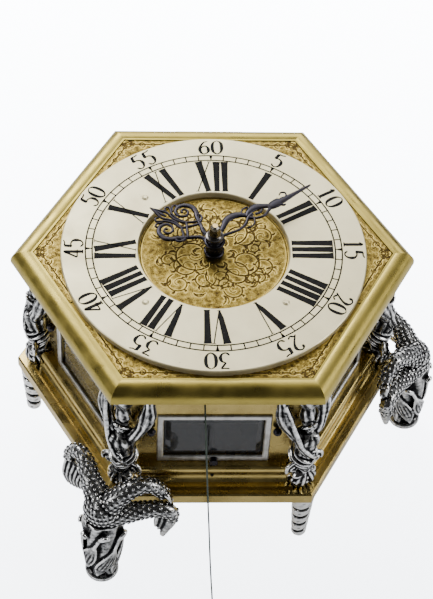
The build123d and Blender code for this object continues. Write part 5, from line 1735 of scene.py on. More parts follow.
    def height_at(self, x: float, y: float, tree: kdtree.KDTree, widths: Sequence[float]) -> tuple[float, float]:
        """Works out the cut surface at one place.

        Args:
            x: The place.
            y: The place.
            tree: The strokes' places.
            widths: Their half widths.

        Returns:
            The height over the plate and the relief from 0 to 1.
        """
        _, index, distance = tree.find((x, y, 0.0))
        half = widths[index]
        groove = max(0.0, 1.0 - distance / (half + 0.12))
        shoulder = max(0.0, 1.0 - abs(distance - half - 0.28) / 0.3)
        swell = max(0.0, 1.0 - distance / self.reach)
        matting = noise.noise(
            Vector((x * 4.3, y * 4.3, 0.0))
        ) * 0.5 + noise.noise(Vector((x * 9.3, y * 9.3, 5.0))) * 0.7
        height = self.ground - self.cut * groove ** 0.8 + 0.035 * shoulder + 0.02 * swell + 0.018 * matting
        # The relief darkens each cut as painted shade and lightens the strip along its edges as a painted highlight;
        # the matting noise is the ground's own tone.
        relief = 0.55 - 0.5 * groove ** 0.7 + 0.3 * shoulder + 0.1 * (swell - 0.4) + 0.32 * matting
        return height, min(max(relief, 0.0), 1.0)

    def field_piece(
        self, name: str, grid: list[list[tuple[float, float]]], strokes: Sequence[Scroll], wrap: bool,
        material: Material,
    ) -> Piece:
        """Makes one closed engraved skin from a grid of places.

        Args:
            name: The piece's name.
            grid: Rows of places, from the inside out.
            strokes: The engraving.
            wrap: Whether each row closes on itself.
            material: The finish.

        Returns:
            The skin, with its relief attribute.
        """
        tree, widths = self.cutter(strokes)
        rows, columns = len(grid), len(grid[0])
        points: list[Vector] = []
        relief: list[float] = []
        for row in grid:
            for x, y in row:
                height, value = self.height_at(x, y, tree, widths)
                points.append(Vector((x, y, self.top + height)))
                relief.append(value)
        last = columns if wrap else columns - 1
        faces = []
        for row in range(rows - 1):
            for column in range(last):
                nxt = (column + 1) % columns
                a, b = row * columns + column, row * columns + nxt
                faces.append((a, a + columns, b + columns, b))
        edge = [[row * columns + column for column in range(columns)] for row in (0, rows - 1)]
        if wrap:
            loops = edge
        else:
            right = [row * columns + columns - 1 for row in range(1, rows - 1)]
            left = [row * columns for row in range(rows - 2, 0, -1)]
            loops = [edge[0] + right + edge[1][::-1] + left]
        lows = []
        for loop in loops:
            low = []
            for corner in loop:
                place = points[corner]
                points.append(Vector((place.x, place.y, self.top - self.foot)))
                relief.append(self.foot_relief)
                low.append(len(points) - 1)
            for index in range(len(loop)):
                nxt = (index + 1) % len(loop)
                faces.append((loop[index], loop[nxt], low[nxt], low[index]))
            lows.append(low)
        if wrap:
            for index in range(columns):
                nxt = (index + 1) % columns
                faces.append((lows[0][index], lows[0][nxt], lows[1][nxt], lows[1][index]))
        else:
            faces.append(tuple(lows[0]))
        mesh = bpy.data.meshes.new(name)
        mesh.from_pydata([point * MM for point in points], [], faces)
        layer = mesh.attributes.new("relief", "FLOAT", "POINT")
        layer.data.foreach_set("value", relief)
        tidy_mesh(mesh, merge=False)
        mesh.materials.append(material)
        mesh.polygons.foreach_set("use_smooth", [True] * len(mesh.polygons))
        return placed(name, mesh)

    def disc_piece(self, material: Material) -> Piece:
        """Makes the engraved disc inside the ring.

        Args:
            material: The finish.

        Returns:
            The disc.
        """
        rings, sides = self.disc_grid
        turns = [2 * pi * side / sides for side in range(sides)]
        grid = []
        for ring in range(rings + 1):
            radius = self.hole + (self.disc - self.hole) * ring / rings
            grid.append([(radius * cos(turn), radius * sin(turn)) for turn in turns])
        return self.field_piece("engraved_disc", grid, self.disc_scrolls(), True, material)

    def corner_piece(self, material: Material) -> Piece:
        """Makes the six engraved corners outside the ring.

        Args:
            material: The finish.

        Returns:
            The corners as one piece.
        """
        (rows, columns), half = self.corner_grid, radians(self.corner_angle)
        grid = []
        for row in range(rows + 1):
            line = []
            for column in range(columns + 1):
                angle = half * (2 * column / columns - 1)
                outer = self.hex_corner * cos(pi / 6) / cos(pi / 6 - abs(angle))
                inner = self.ring_outer - 0.4
                radius = inner + (outer - inner) * row / rows
                line.append((radius * cos(angle), radius * sin(angle)))
            grid.append(line)
        one = self.field_piece("engraved_corners", grid, self.corner_scrolls(), False, material)
        whole = bmesh.new()
        for corner in range(6):
            copy = one.data.copy()
            copy.transform(Matrix.Rotation(corner * pi / 3, 4, "Z"))
            whole.from_mesh(copy)
            bpy.data.meshes.remove(copy)
        whole.to_mesh(one.data)
        whole.free()
        return one


# ---------------------------------------------------------------- hands


@dataclass
class Hands:
    """The blued hands, drawn along X and then turned to the hour shown."""

    hour_level: float
    minute_level: float
    arbor_end: float
    thick: float = 0.55
    hour_angle: float = 145.5
    minute_angle: float = 36.0
    hour_hub: float = 3.6
    sleeve: float = 5.2
    sleeve_bore: float = 2.38
    minute_hub: float = 3.0
    layer_step: float = 0.012
    dome: float = 0.2

    def build(self, paints: Paintbox) -> None:
        """Makes both hands and the collet that holds them.

        Args:
            paints: The finishes.
        """
        steel = paints.of(Slot.BLUED_STEEL)
        hour = make_piece("scrolled_hour_hand", self.hour_shape(), steel)
        finish_piece(hour, Body.HOUR_WHEEL, ("hour_hand",))
        minute = make_piece("pierced_minute_hand", self.minute_shape(), steel)
        finish_piece(minute, Body.CENTRE_ARBOR, ("minute_hand",))
        collet = make_piece("hand_boss", self.collet_shape(), paints.boss_steel, shade_smooth=False)
        finish_piece(collet, Body.CENTRE_ARBOR, ("hand_collet",))

    @staticmethod
    def both_sides(points: Sequence[Point]) -> tuple[Sequence[Point], Sequence[Point]]:
        """Returns a stroke and its mirror across the hand."""
        return points, [(x, -y, half) for x, y, half in points]

    def hub(self, radius: float, bore: float, level: float) -> Shape:
        """Makes the round eye of a hand.

        Args:
            radius: Its radius.
            bore: The radius of its hole.
            level: Its underside.

        Returns:
            The eye.
        """
        section = (
            (bore, 0.0), (radius, 0.0), (radius, self.thick * 0.7), (radius - 0.35, self.thick), (bore, self.thick),
        )
        return washer([(out, level + up) for out, up in section])

    def straps(self, strokes: Sequence[Sequence[Point]], level: float) -> Shape:
        """Lays straps over one another, each at its own height so that none share a face.

        Args:
            strokes: The straps' places.
            level: The hand's underside.

        Returns:
            The straps.
        """
        shape = Shape.empty()
        for number, stroke in enumerate(strokes):
            lift = self.layer_step * (number % 3)
            shape.add(ribbon(stroke, self.thick - 0.03 + lift, level + 0.01, dome=self.dome))
        return shape

    def hour_shape(self) -> Shape:
        """Draws the hour hand: paired volutes, crossed straps and an open point.

        Returns:
            The hand in place.
        """
        strokes = [
            *self.both_sides((
                (2.6, 1.0, 0.8), (5.0, 1.2, 0.75), (7.6, 3.2, 0.7), (10.6, 5.6, 0.85), (12.6, 7.6, 0.95),
                (15.0, 8.5, 0.95), (17.6, 7.5, 0.85), (18.7, 5.2, 0.7), (17.8, 3.1, 0.6), (15.7, 2.7, 0.5),
                (14.2, 4.1, 0.45), (14.6, 5.9, 0.42), (16.2, 6.2, 0.4), (16.8, 5.0, 0.38), (15.9, 4.5, 0.4),
            )),
            *self.both_sides((
                (6.2, -2.1, 0.35), (8.1, -3.6, 0.5), (10.3, -1.1, 0.5), (12.6, 1.4, 0.45), (15.6, 1.2, 0.42),
                (18.6, 2.0, 0.4), (20.9, 3.8, 0.38), (22.1, 3.0, 0.34), (21.4, 2.0, 0.3),
            )),
            *self.both_sides((
                (9.4, 4.6, 0.4), (11.0, 2.8, 0.45), (13.6, 0.9, 0.42), (17.0, 0.5, 0.42), (20.4, 1.5, 0.45),
                (23.0, 0.8, 0.42), (25.4, 0.15, 0.3), (26.4, 0.03, 0.12),
            )),
            *self.both_sides((
                (8.6, 4.0, 0.5), (9.2, 6.3, 0.42), (10.6, 7.1, 0.38), (11.2, 6.2, 0.34), (10.5, 5.9, 0.3),
            )),
            *self.both_sides(((19.0, 3.0, 0.3), (20.4, 4.9, 0.35), (19.6, 6.0, 0.32), (18.9, 5.4, 0.3))),
        ]
        shape = self.hub(self.hour_hub, 2.0, self.hour_level)
        foot = self.hour_level - self.sleeve
        for radius, low, high in (
            (3.0, foot, self.hour_level + 0.1), (3.5, foot, foot + 0.9),
            (3.3, self.hour_level - 0.9, self.hour_level + 0.05),
        ):
            bore = self.sleeve_bore
            shape.add(washer(((bore, low), (radius, low), (radius, high), (bore, high))))
        shape.add(self.straps(strokes, self.hour_level))
        shape.add(
            ribbon(
                ((19.6, 0.0, 0.3), (21.6, 0.0, 0.55), (26.3, 0.0, 0.1)), self.thick * 0.8, self.hour_level + 0.02,
                dome=0.15,
            )
        )
        return shape.moved(Matrix.Rotation(radians(self.hour_angle), 4, "Z"))

    def minute_shape(self) -> Shape:
        """Draws the minute hand: two pierced loops with curls, then a long point.

        Returns:
            The hand in place.
        """
        strokes = [
            ((2.3, 0.5, 0.8), (4.8, 1.9, 0.9), (8.4, 4.1, 1.25), (12.0, 4.0, 1.3), (14.6, 2.2, 0.9), (16.4, 0.6, 0.7)),
            (
                (2.3, -0.6, 0.7), (5.4, -1.3, 0.5), (9.4, -1.9, 0.45), (12.6, -1.0, 0.5), (14.8, 0.6, 0.6),
                (17.2, 1.3, 0.8),
            ),
            ((14.8, 1.3, 0.8), (16.8, 2.6, 1.1), (19.8, 2.9, 1.35), (22.4, 1.7, 1.0), (24.2, 0.5, 0.9)),
            ((15.0, 0.6, 0.7), (17.2, -1.2, 0.5), (20.0, -1.8, 0.45), (22.4, -0.9, 0.5), (24.4, 0.0, 0.8)),
            ((13.6, 3.0, 0.4), (15.4, 4.6, 0.34), (17.3, 4.6, 0.3), (17.4, 3.3, 0.28)),
            ((16.6, -0.4, 0.4), (15.2, -2.5, 0.32), (12.9, -3.3, 0.26), (11.4, -2.6, 0.22)),
            ((17.8, 0.4, 0.5), (19.8, 0.2, 0.42), (21.2, 0.8, 0.4)),
            (
                (23.2, 0.2, 0.9), (25.2, 0.2, 1.6), (27.6, 0.15, 1.75), (28.8, 0.1, 1.25), (29.4, 0.05, 1.3),
                (31.6, 0.0, 1.0), (36.5, 0.0, 0.62), (40.6, 0.0, 0.42), (41.8, 0.0, 0.16),
            ),
            ((31.4, 0.5, 0.3), (32.3, 2.1, 0.26), (31.2, 3.1, 0.22), (29.9, 2.6, 0.18)),
            ((27.4, -0.6, 0.5), (28.4, -1.9, 0.4), (29.2, -2.0, 0.2)),
        ]
        shape = self.hub(self.minute_hub, 1.3, self.minute_level).add(self.straps(strokes, self.minute_level))
        return shape.moved(Matrix.Rotation(radians(self.minute_angle), 4, "Z"))

    def collet_shape(self) -> Shape:
        """Turns the stepped collet with its tapered eight-sided boss.

        Returns:
            The collet.
        """
        low, high = self.minute_level + self.thick, self.arbor_end
        collar = turned(
            (
                (0.95, low), (2.7, low), (3.0, low + 0.3), (3.0, low + 0.8), (2.5, low + 1.0), (2.5, low + 1.3),
                (2.1, low + 1.6), (0.95, low + 1.6),
            ),
            sides=EYE_SIDES,
        )
        boss = turned(
            ((2.0, low + 1.4), (2.15, low + 2.0), (1.75, high - 1.4), (1.5, high - 0.6), (0.9, high - 0.05)), sides=8,
        )
        return collar.add(boss.moved(Matrix.Rotation(0.3, 4, "Z")))


# ---------------------------------------------------------------- case


@dataclass
class WindowPanes:
    """Six bevelled panes of grey glass behind the silver frames."""

    apothem: float
    low: float
    high: float
    half: float = 17.15
    thick: float = 1.4
    bevel: float = 2.6
    bevel_depth: float = 0.85

    def build(self, paints: Paintbox) -> None:
        """Makes the panes.

        Args:
            paints: The finishes.
        """
        shape = Shape.empty()
        for side in range(6):
            shape.add(self.pane().moved(Matrix.Rotation(radians(30 + 60 * side), 4, "Z")))
        piece = make_piece("bevelled_panes", shape, paints.of(Slot.WINDOW_GLASS), shade_smooth=False)
        finish_piece(piece, Body.CASE, ("window_panes",))

    def pane(self) -> Shape:
        """Makes one pane that faces along X.

        Returns:
            The pane.
        """
        rings = []
        for depth, inset in ((self.thick, 0.0), (self.bevel_depth, 0.0), (0.0, self.bevel)):
            x, half = self.apothem - depth, self.half - inset
            low, high = self.low + inset, self.high - inset
            rings.append([
                Vector((x, -half, low)), Vector((x, half, low)), Vector((x, half, high)), Vector((x, -half, high)),
            ])
        return rings_to_shape(rings)


@dataclass
class RibbedFeet:
    """Three cast feet with slanted grooves under the base."""

    names: tuple[str, ...] = ("ribbed_foot_back_right", "ribbed_foot_left", "ribbed_foot_front_right")
    angles: tuple[float, ...] = (60.0, 180.0, 300.0)
    radial: float = 64.3
    top_radius: float = 4.05
    end_radius: float = 2.6
    grooves: float = 5.0
    groove_depth: float = 0.24
    slant: float = 1.5
    rings: int = 110

    def build(self, paints: Paintbox) -> None:
        """Makes the feet.

        Args:
            paints: The finishes.
        """
        for name, angle in zip(self.names, self.angles):
            low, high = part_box(name)
            top, bottom = high.z / MM - 3.0, low.z / MM
            profile = []
            for step in range(self.rings + 1):
                share = step / self.rings
                radius = self.top_radius + (self.end_radius - self.top_radius) * share
                if share > 0.95:
                    radius *= sqrt(max(1 - ((share - 0.95) / 0.05) ** 2 * 0.55, 0.1))
                profile.append((radius, top - (top - bottom) * share))

            def wave(turn: float, height: float, top: float = top, bottom: float = bottom) -> float:
                """Returns the groove's factor on the radius."""
                share = (top - height) / (top - bottom)
                phase = share * self.grooves * 2 * pi + self.slant * cos(turn - 1.0)
                deep = max(0.0, sin(phase)) ** 1.5
                fade = min(1.0, max(share - 0.1, 0.0) * 8) * min(1.0, (1.0 - share) * 9)
                return 1.0 - self.groove_depth * deep * fade + 0.012 * sin(7 * turn + 30 * share)

            shape = turned(profile, sides=72, wave=wave)
            place = Matrix.Rotation(radians(angle), 4, "Z") @ Matrix.Translation((self.radial, 0, 0))
            piece = make_piece(f"slant_{name}", shape.moved(place), paints.of(Slot.OXIDISED_SILVER))
            measure_relief(piece, reach=10, gain=5.0, level=0.42)
            finish_piece(piece, Body.CASE, (name,))


@dataclass
class CornerFigures:
    """Six draped figures that hold up the cover at its corners."""

    names: tuple[str, ...] = ("right", "back_right", "back_left", "left", "front_left", "front_right")
    radial: float = 61.0
    voxel: float = 0.27
    head_height: float = 71.2
    hem: float = 46.5
    waist: float = 57.5
    shoulder: float = 66.5
    outline: tuple[tuple[float, float], ...] = (
        (2.4, 37.85), (4.3, 39.6), (4.85, 42.0), (4.5, 45.2), (3.2, 47.6), (4.0, 50.5), (4.7, 53.5), (4.2, 56.5),
        (4.0, 58.6), (4.6, 62.4), (4.5, 65.2), (2.9, 67.4), (1.7, 68.6), (1.6, 70.0),
    )

    def build(self, paints: Paintbox) -> None:
        """Casts one figure and sets copies at the corners.

        Args:
            paints: The finishes.
        """
        silver = paints.of(Slot.OXIDISED_SILVER)
        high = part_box("corner_figure_right")[1].z / MM
        cast = grown_together("draped_figure", self.figure(high), self.voxel, 1, silver)
        measure_relief(cast, reach=4, gain=5.0, level=0.42)
        for corner, name in enumerate(self.names):
            mesh = cast.data.copy()
            mesh.transform(Matrix.Rotation(corner * pi / 3, 4, "Z") @ Matrix.Translation((self.radial * MM, 0, 0)))
            piece = placed(f"draped_figure_{name}", mesh)
            finish_piece(piece, Body.CASE, (f"corner_figure_{name}",))
        bpy.data.objects.remove(cast)

    def figure(self, top: float) -> Shape:
        """Puts the parts of a figure together.

        Args:
            top: The height of its capital's top.

        Returns:
            The overlapping parts.
        """
        shape = turned(self.outline, sides=80, steps=8, wave=self.drape)
        shape.add(self.head())
        shape.add(self.capital(top))
        for side in (1, -1):
            shape.add(self.sleeve(side))
            shape.add(self.hip_scroll(side))
            shape.add(self.skirt_leaf(side))
        shape.add(self.sash())
        shape.add(self.chest_boss())
        return shape

    def drape(self, turn: float, height: float) -> float:
        """Returns the folds' factor on the radius at a place."""
        side = abs((turn + pi) % (2 * pi) - pi)
        if height < self.hem:
            return 1.0 + 0.1 * cos(4 * side + 2.4) + 0.05 * sin(2.2 * height + 3 * side)
        if height < self.waist:
            fold = sin((height - 2.5 * side) / 2.4 * 2 * pi)
            return 1.0 + 0.12 * (abs(fold) ** 0.7) * (1 if fold > 0 else -1) * min(1.0, (self.waist - height) * 0.8)
        if height < self.shoulder:
            return 1.0 + 0.06 * cos(9 * side + 0.3 * height) + 0.07 * max(0.0, cos(2 * (side - 0.7)))
        return 1.0

    def head(self) -> Shape:
        """Models a calm, evenly proportioned head that looks down a little.

        Returns:
            The head in place.
        """
        shape = ball((0, 0, 0), (2.45, 2.15, 3.05))
        features = (
            ((2.25, 0.0, -0.15), (0.62, 0.36, 0.85)),
            ((1.0, 0.0, -1.9), (1.35, 1.3, 1.1)),
            ((2.1, 0.0, -1.42), (0.36, 0.62, 0.16)), ((2.06, 0.0, -1.72), (0.34, 0.5, 0.16)),
            ((1.85, 0.0, -2.5), (0.55, 0.6, 0.45)),
            ((1.55, 1.05, -0.85), (0.65, 0.6, 0.7)), ((1.55, -1.05, -0.85), (0.65, 0.6, 0.7)),
            ((1.95, 0.82, 0.72), (0.42, 0.72, 0.2)), ((1.95, -0.82, 0.72), (0.42, 0.72, 0.2)),
            ((1.88, 0.85, 0.2), (0.34, 0.42, 0.24)), ((1.88, -0.85, 0.2), (0.34, 0.42, 0.24)),
            ((-0.5, 0.0, 0.9), (2.55, 2.5, 2.6)),
        )
        for centre, radii in features:
            shape.add(ball(centre, radii, sides=14, levels=9))
        for side in (1, -1):
            for lift in range(4):
                start = 2.6 - 0.35 * lift
                lock = (
                    (1.7 - 0.5 * lift, side * 0.35, start + 0.3, 0.42),
                    (1.2 - 0.5 * lift, side * 1.7, start - 0.5, 0.5),
                    (0.2 - 0.4 * lift, side * 2.45, start - 2.3, 0.55),
                    (-0.6 - 0.3 * lift, side * 2.3, start - 4.6, 0.45),
                )
                shape.add(tube(lock, sides=8, steps=4))
        tilt = Matrix.Translation((1.2, 0, self.head_height)) @ Matrix.Rotation(radians(16), 4, "Y")
        return shape.moved(tilt)

    @staticmethod
    def capital(top: float) -> Shape:
        """Models the folded cloth between the head and the cover.

        Args:
            top: The height of its top.

        Returns:
            The capital.
        """
        profile = (
            (1.4, 72.5), (2.6, 75.0), (2.4, 78.0), (2.1, 80.2), (3.0, 82.2), (4.05, 85.0), (4.3, 87.2), (3.7, 88.9),
            (4.15, 89.6), (4.2, top - 0.35), (3.9, top),
        )

        def gather(turn: float, height: float) -> float:
            """Returns the gathers' factor on the radius."""
            return 1.0 + (0.07 if height < 88.5 else 0.0) * sin(6 * turn + 0.5 * height)

        return turned(profile, sides=64, steps=5, wave=gather).moved(Matrix.Translation((-0.2, 0, 0)))

    @staticmethod
    def sleeve(side: int) -> Shape:
        """Models one raised arm in its puffed sleeve.

        Args:
            side: One for the left, minus one for the right.

        Returns:
            The arm.
        """

        def puff(turn: float, share: float) -> float:
            """Returns the puffs' factor on the radius."""
            return 1.0 + 0.13 * sin(share * 15.0) + 0.07 * cos(7 * turn + 9 * share)

        run = (
            (0.3, side * 2.6, 64.6, 1.7), (0.3, side * 4.9, 68.4, 2.1), (-1.2, side * 7.0, 73.2, 2.5),
            (-3.0, side * 7.9, 78.6, 2.55),
            (-3.9, side * 7.8, 83.5, 2.1), (-4.7, side * 7.6, 86.6, 1.4),
        )
        return tube(run, sides=28, steps=9, wave=puff).add(
            ball((-4.6, side * 7.5, 87.4), (1.5, 1.4, 1.3), sides=12, levels=8)
        )

    @staticmethod
    def hip_scroll(side: int) -> Shape:
        """Models the round volute at one hip.

        Args:
            side: One for the left, minus one for the right.

        Returns:
            The volute.
        """
        run = []
        for step in range(22):
            share = step / 21
            angle = -0.6 + share * 4.1 * pi / 1.5
            reach = 2.5 * (1 - share) ** 0.8 + 0.25
            run.append((
                1.3 + 0.6 * share, side * (4.6 + reach * cos(angle)), 49.8 + reach * sin(angle) * 1.15,
                0.78 - 0.3 * share,
            ))
        shape = tube(run, sides=10, steps=2)
        shape.add(ball((1.0, side * 4.5, 49.8), (1.1, 2.1, 2.3), sides=16, levels=10))
        shape.add(
            tube(
                ((1.8, side * 3.0, 52.2, 1.0), (2.6, side * 1.0, 48.4, 0.9), (3.0, side * -0.4, 46.4, 0.7)), sides=10,
                steps=5,
            )
        )
        return shape

    @staticmethod
    def skirt_leaf(side: int) -> Shape:
        """Models the leaf that laps over one side of the lower bulb.

        Args:
            side: One for the left, minus one for the right.

        Returns:
            The leaf's ribs.
        """
        shape = Shape.empty()
        for rib in range(4):
            lean = 0.35 + 0.42 * rib
            run = (
                (3.4 * cos(lean * 0.5), side * 3.2 * sin(lean * 0.5), 46.4, 0.5),
                (4.9 * cos(lean), side * 4.9 * sin(lean), 43.0, 0.62),
                (4.5 * cos(lean + 0.1), side * 4.5 * sin(lean + 0.1), 39.6, 0.5),
                (2.9 * cos(lean + 0.1), side * 2.9 * sin(lean + 0.1), 38.2, 0.3),
            )
            shape.add(tube(run, sides=8, steps=5))
        return shape

    @staticmethod
    def sash() -> Shape:
        """Models the sash that crosses the body and sweeps up to the wall.

        Returns:
            The sash.
        """
        run = (
            (3.0, 3.4, 52.5, 0.7), (4.6, 1.2, 56.0, 0.75), (4.7, -1.5, 60.0, 0.8), (3.6, -3.6, 64.0, 0.9),
            (2.2, -5.0, 69.0, 1.0), (0.2, -6.6, 76.0, 1.0), (-2.5, -8.0, 83.0, 0.9),
        )
        pleat = tuple((x - 0.7, y - 0.5, z - 1.2, radius * 0.7) for x, y, z, radius in run)
        return tube(run, sides=10, steps=6).add(tube(pleat, sides=8, steps=6))

    @staticmethod
    def chest_boss() -> Shape:
        """Models the round boss on the breast with its ring.

        Returns:
            The boss.
        """
        shape = ball((4.5, 0.4, 57.8), (0.9, 1.1, 1.0), sides=14, levels=8)
        ring = [(4.6, 0.4 + 1.75 * cos(2 * pi * s / 16), 57.8 + 1.6 * sin(2 * pi * s / 16), 0.36) for s in range(17)]
        return shape.add(tube(ring, sides=8, steps=2))


@dataclass
class DragonFeet:
    """Three scaly dragons, each standing on a leaf column with a round pad."""

    names: tuple[str, ...] = ("dragon_foot_right", "dragon_foot_back_left", "dragon_foot_front_left")
    angles: tuple[float, ...] = (0.0, 120.0, 240.0)
    mirrored: tuple[bool, ...] = (True, False, False)
    pad_radial: float = 76.3
    plate_top: float = 37.8
    voxel: float = 0.36
    scale_step: float = 1.62
    leaves: int = 6
    leaf_twist: float = 1.25
    flute_depth: float = 0.14
    neck: tuple[Point, ...] = (
        (-1.5, -0.6, 1.5, 5.6), (-3.3, -3.5, 4.0, 4.3), (-5.3, -7.2, 7.0, 3.5), (-8.8, -10.6, 9.4, 2.9),
        (-11.0, -14.0, 10.6, 2.6), (-12.2, -17.2, 9.0, 2.3), (-12.6, -19.6, 5.4, 2.1), (-12.0, -19.8, 2.4, 1.9),
    )
    upper_limb: tuple[Point, ...] = (
        (-1.6, 1.6, 2.0, 5.0), (-3.2, 4.0, 6.4, 3.7), (-6.3, 7.2, 9.7, 3.1), (-10.3, 10.8, 11.0, 2.7),
        (-13.0, 14.4, 8.4, 2.4), (-14.0, 17.3, 4.8, 2.1),
    )
    lower_limb: tuple[Point, ...] = (
        (-1.5, 2.0, -1.5, 5.2), (-4.0, 6.4, -1.6, 3.9), (-7.3, 11.6, -0.4, 3.1), (-10.4, 17.0, 0.6, 2.7),
        (-12.3, 20.6, -1.2, 2.5),
        (-12.1, 20.6, -6.0, 2.2), (-11.4, 19.2, -11.0, 1.7), (-10.8, 18.2, -15.6, 1.0),
    )

    def build(self, paints: Paintbox, rows: RowMaker) -> None:
        """Casts one dragon, covers it with scales and sets copies in place.

        Args:
            paints: The finishes.
            rows: The trees that repeat scales.
        """
        silver = paints.of(Slot.OXIDISED_SILVER)
        cast = grown_together("dragon", self.body(), self.voxel, 2, silver)
        measure_relief(cast, reach=4, gain=4.0, level=0.4)
        scales = self.scales(cast, rows, silver)
        for name, angle, mirror in zip(self.names, self.angles, self.mirrored):
            place = Matrix.Rotation(radians(angle), 4, "Z") @ Matrix.Translation((self.pad_radial * MM, 0, 0))
            if mirror:
                place = place @ Matrix.Diagonal((1, -1, 1, 1))
            for source, label, nodes in ((cast, "cast", (name,)), (scales, "scales", ())):
                mesh = source.data.copy()
                mesh.transform(place)
                if mirror:
                    mesh.flip_normals()
                piece = placed(f"{name}_{label}", mesh)
                finish_piece(piece, Body.CASE, nodes)
        bpy.data.objects.remove(cast)
        bpy.data.objects.remove(scales)

    def raised(self, run: Sequence[Point]) -> list[Point]:
        """Returns a limb's points with their heights above the table."""
        return [(x, y, z + self.plate_top, radius) for x, y, z, radius in run]

    def body(self) -> Shape:
        """Puts the parts of a dragon together.

        Returns:
            The overlapping parts.
        """
        shape = self.column()
        shape.add(ball((-1.3, 0, self.plate_top + 0.2), (6.5, 6.5, 6.9), sides=32, levels=20))
        for run in (self.neck, self.upper_limb, self.lower_limb):
            shape.add(tube(self.raised(run), sides=24, steps=8))
        shape.add(self.fin())
        shape.add(self.claws())
        shape.add(self.webbed_end())
        return shape

    def column(self) -> Shape:
        """Models the pad and the leaf column, with the boss under the base.

        Returns:
            The column.
        """
        shape = turned(((5.4, 0.0), (5.9, 0.35), (6.0, 1.1), (5.85, 1.9), (5.3, 2.4), (4.9, 3.0)), sides=64)

        def flute(turn: float, share: float) -> float:
            """Returns the leaf flutes' factor on the radius."""
            return 1.0 + self.flute_depth * sin(6 * turn - 7.5 * share) * (1 - share) ** 0.3

        shape.add(
            tube(
                (
                    (0, 0, 2.2, 4.6), (-0.2, 0, 7, 4.9), (-0.6, 0, 12, 5.2), (-0.8, 0, 20, 6.1), (-1.0, 0, 28.5, 6.8),
                    (-1.2, 0, 34, 6.6),
                ),
                sides=64, steps=8, wave=flute,
            )
        )
        for leaf in range(self.leaves):
            start, lift = 2 * pi * leaf / self.leaves + 0.2, 1.9 * (leaf % 3)
            for spread in (-0.42, -0.2, 0.0, 0.2, 0.42):
                run = []
                for step in range(7):
                    share = step / 6
                    angle = start + self.leaf_twist * share + spread * sin(pi * min(share * 1.25, 1.0))
                    out = 5.0 + 1.9 * share ** 1.4 + 1.0 * sin(pi * share)
                    run.append((
                        -1.0 * share + out * cos(angle), out * sin(angle), 3.4 + (21.5 + lift) * share,
                        0.72 - 0.45 * abs(spread),
                    ))
                shape.add(tube(run, sides=8, steps=4))
            tip, rise = start + self.leaf_twist, 24.7 + lift
            curl = ((0.0, 6.9, 0.0, 0.9), (0.12, 7.7, 1.7, 1.1), (0.26, 8.2, 2.9, 1.0), (0.42, 8.1, 1.9, 0.8))
            shape.add(
                tube(
                    [
                        (-1.0 + out * cos(tip + turn), out * sin(tip + turn), rise + up, thick)
                        for turn, out, up, thick in curl
                    ],
                    sides=10, steps=4,
                )
            )
        shape.add(tube(((-12.0, 0, 27.2, 3.4), (-12.0, 0, 33.0, 3.6)), sides=24, steps=4))
        shape.add(tube(((-12.0, 0, 30.0, 2.6), (-3.0, 0, 30.0, 3.0)), sides=16, steps=4))
        return shape

    def fin(self) -> Shape:
        """Models the ribbed fan that hangs from the curled neck.

        Returns:
            The fan's ribs.
        """
        band = self.raised((
            (-12.0, -19.9, 2.6, 1.1), (-11.4, -16.2, 0.8, 1.0), (-9.4, -11.4, -0.2, 1.1), (-5.6, -6.6, 0.6, 1.3),
        ))
        shape = tube(band, sides=12, steps=6)
        for rib in range(6):
            share = rib / 5
            top = Vector((-11.7 + 1.3 * share, -20.6 + 8.8 * share, self.plate_top + 2.2 - 2.2 * share))
            end = Vector((-10.9 + 1.9 * share, -19.8 + 7.2 * share, self.plate_top - 11.2 + 3.4 * share * share))
            middle = (top + end) / 2 + Vector((1.1, -0.7, 0.0))
            shape.add(tube(((*top, 0.8), (*middle, 0.9), (*end, 0.6)), sides=12, steps=7))
            if rib < 5:
                gap = Vector((-0.25, 0.8, 0.0))
                shape.add(
                    tube(
                        ((*(top + gap), 0.5), (*(middle + gap), 0.45), (*(end + gap + Vector((0, 0, 1.0))), 0.4)),
                        sides=8, steps=5,
                    )
                )
        return shape

    def claws(self) -> Shape:
        """Models the clawed end of the upper limb.

        Returns:
            The claws.
        """
        shape, root = Shape.empty(), Vector((-13.6, 16.6, self.plate_top + 6.0))
        for claw in range(4):
            lean = claw - 1.5
            knee = root + Vector((0.5 * lean, 1.8 + 0.2 * lean, -0.6 + 0.7 * lean))
            end = root + Vector((-0.4 + 0.75 * lean, 3.4, -4.2 + 0.6 * abs(lean)))
            shape.add(tube(((*root, 1.2), (*knee, 0.95), (*end, 0.35)), sides=10, steps=5))
        return shape

    def webbed_end(self) -> Shape:
        """Models the ribbed web at the lower limb's end.

        Returns:
            The web's ribs.
        """
        shape = Shape.empty()
        for rib in range(4):
            share = rib / 3
            top = (-12.6 + 2.6 * share, 21.4 - 4.4 * share, self.plate_top - 1.8, 1.1)
            middle = (-12.0 + 2.4 * share, 20.9 - 4.6 * share, self.plate_top - 8.0 + 1.5 * share, 0.95)
            end = (-11.0 + 1.4 * share, 18.4 - 2.4 * share, self.plate_top - 15.8 + 5.5 * share, 0.45)
            shape.add(tube((top, middle, end), sides=10, steps=6))
        return shape

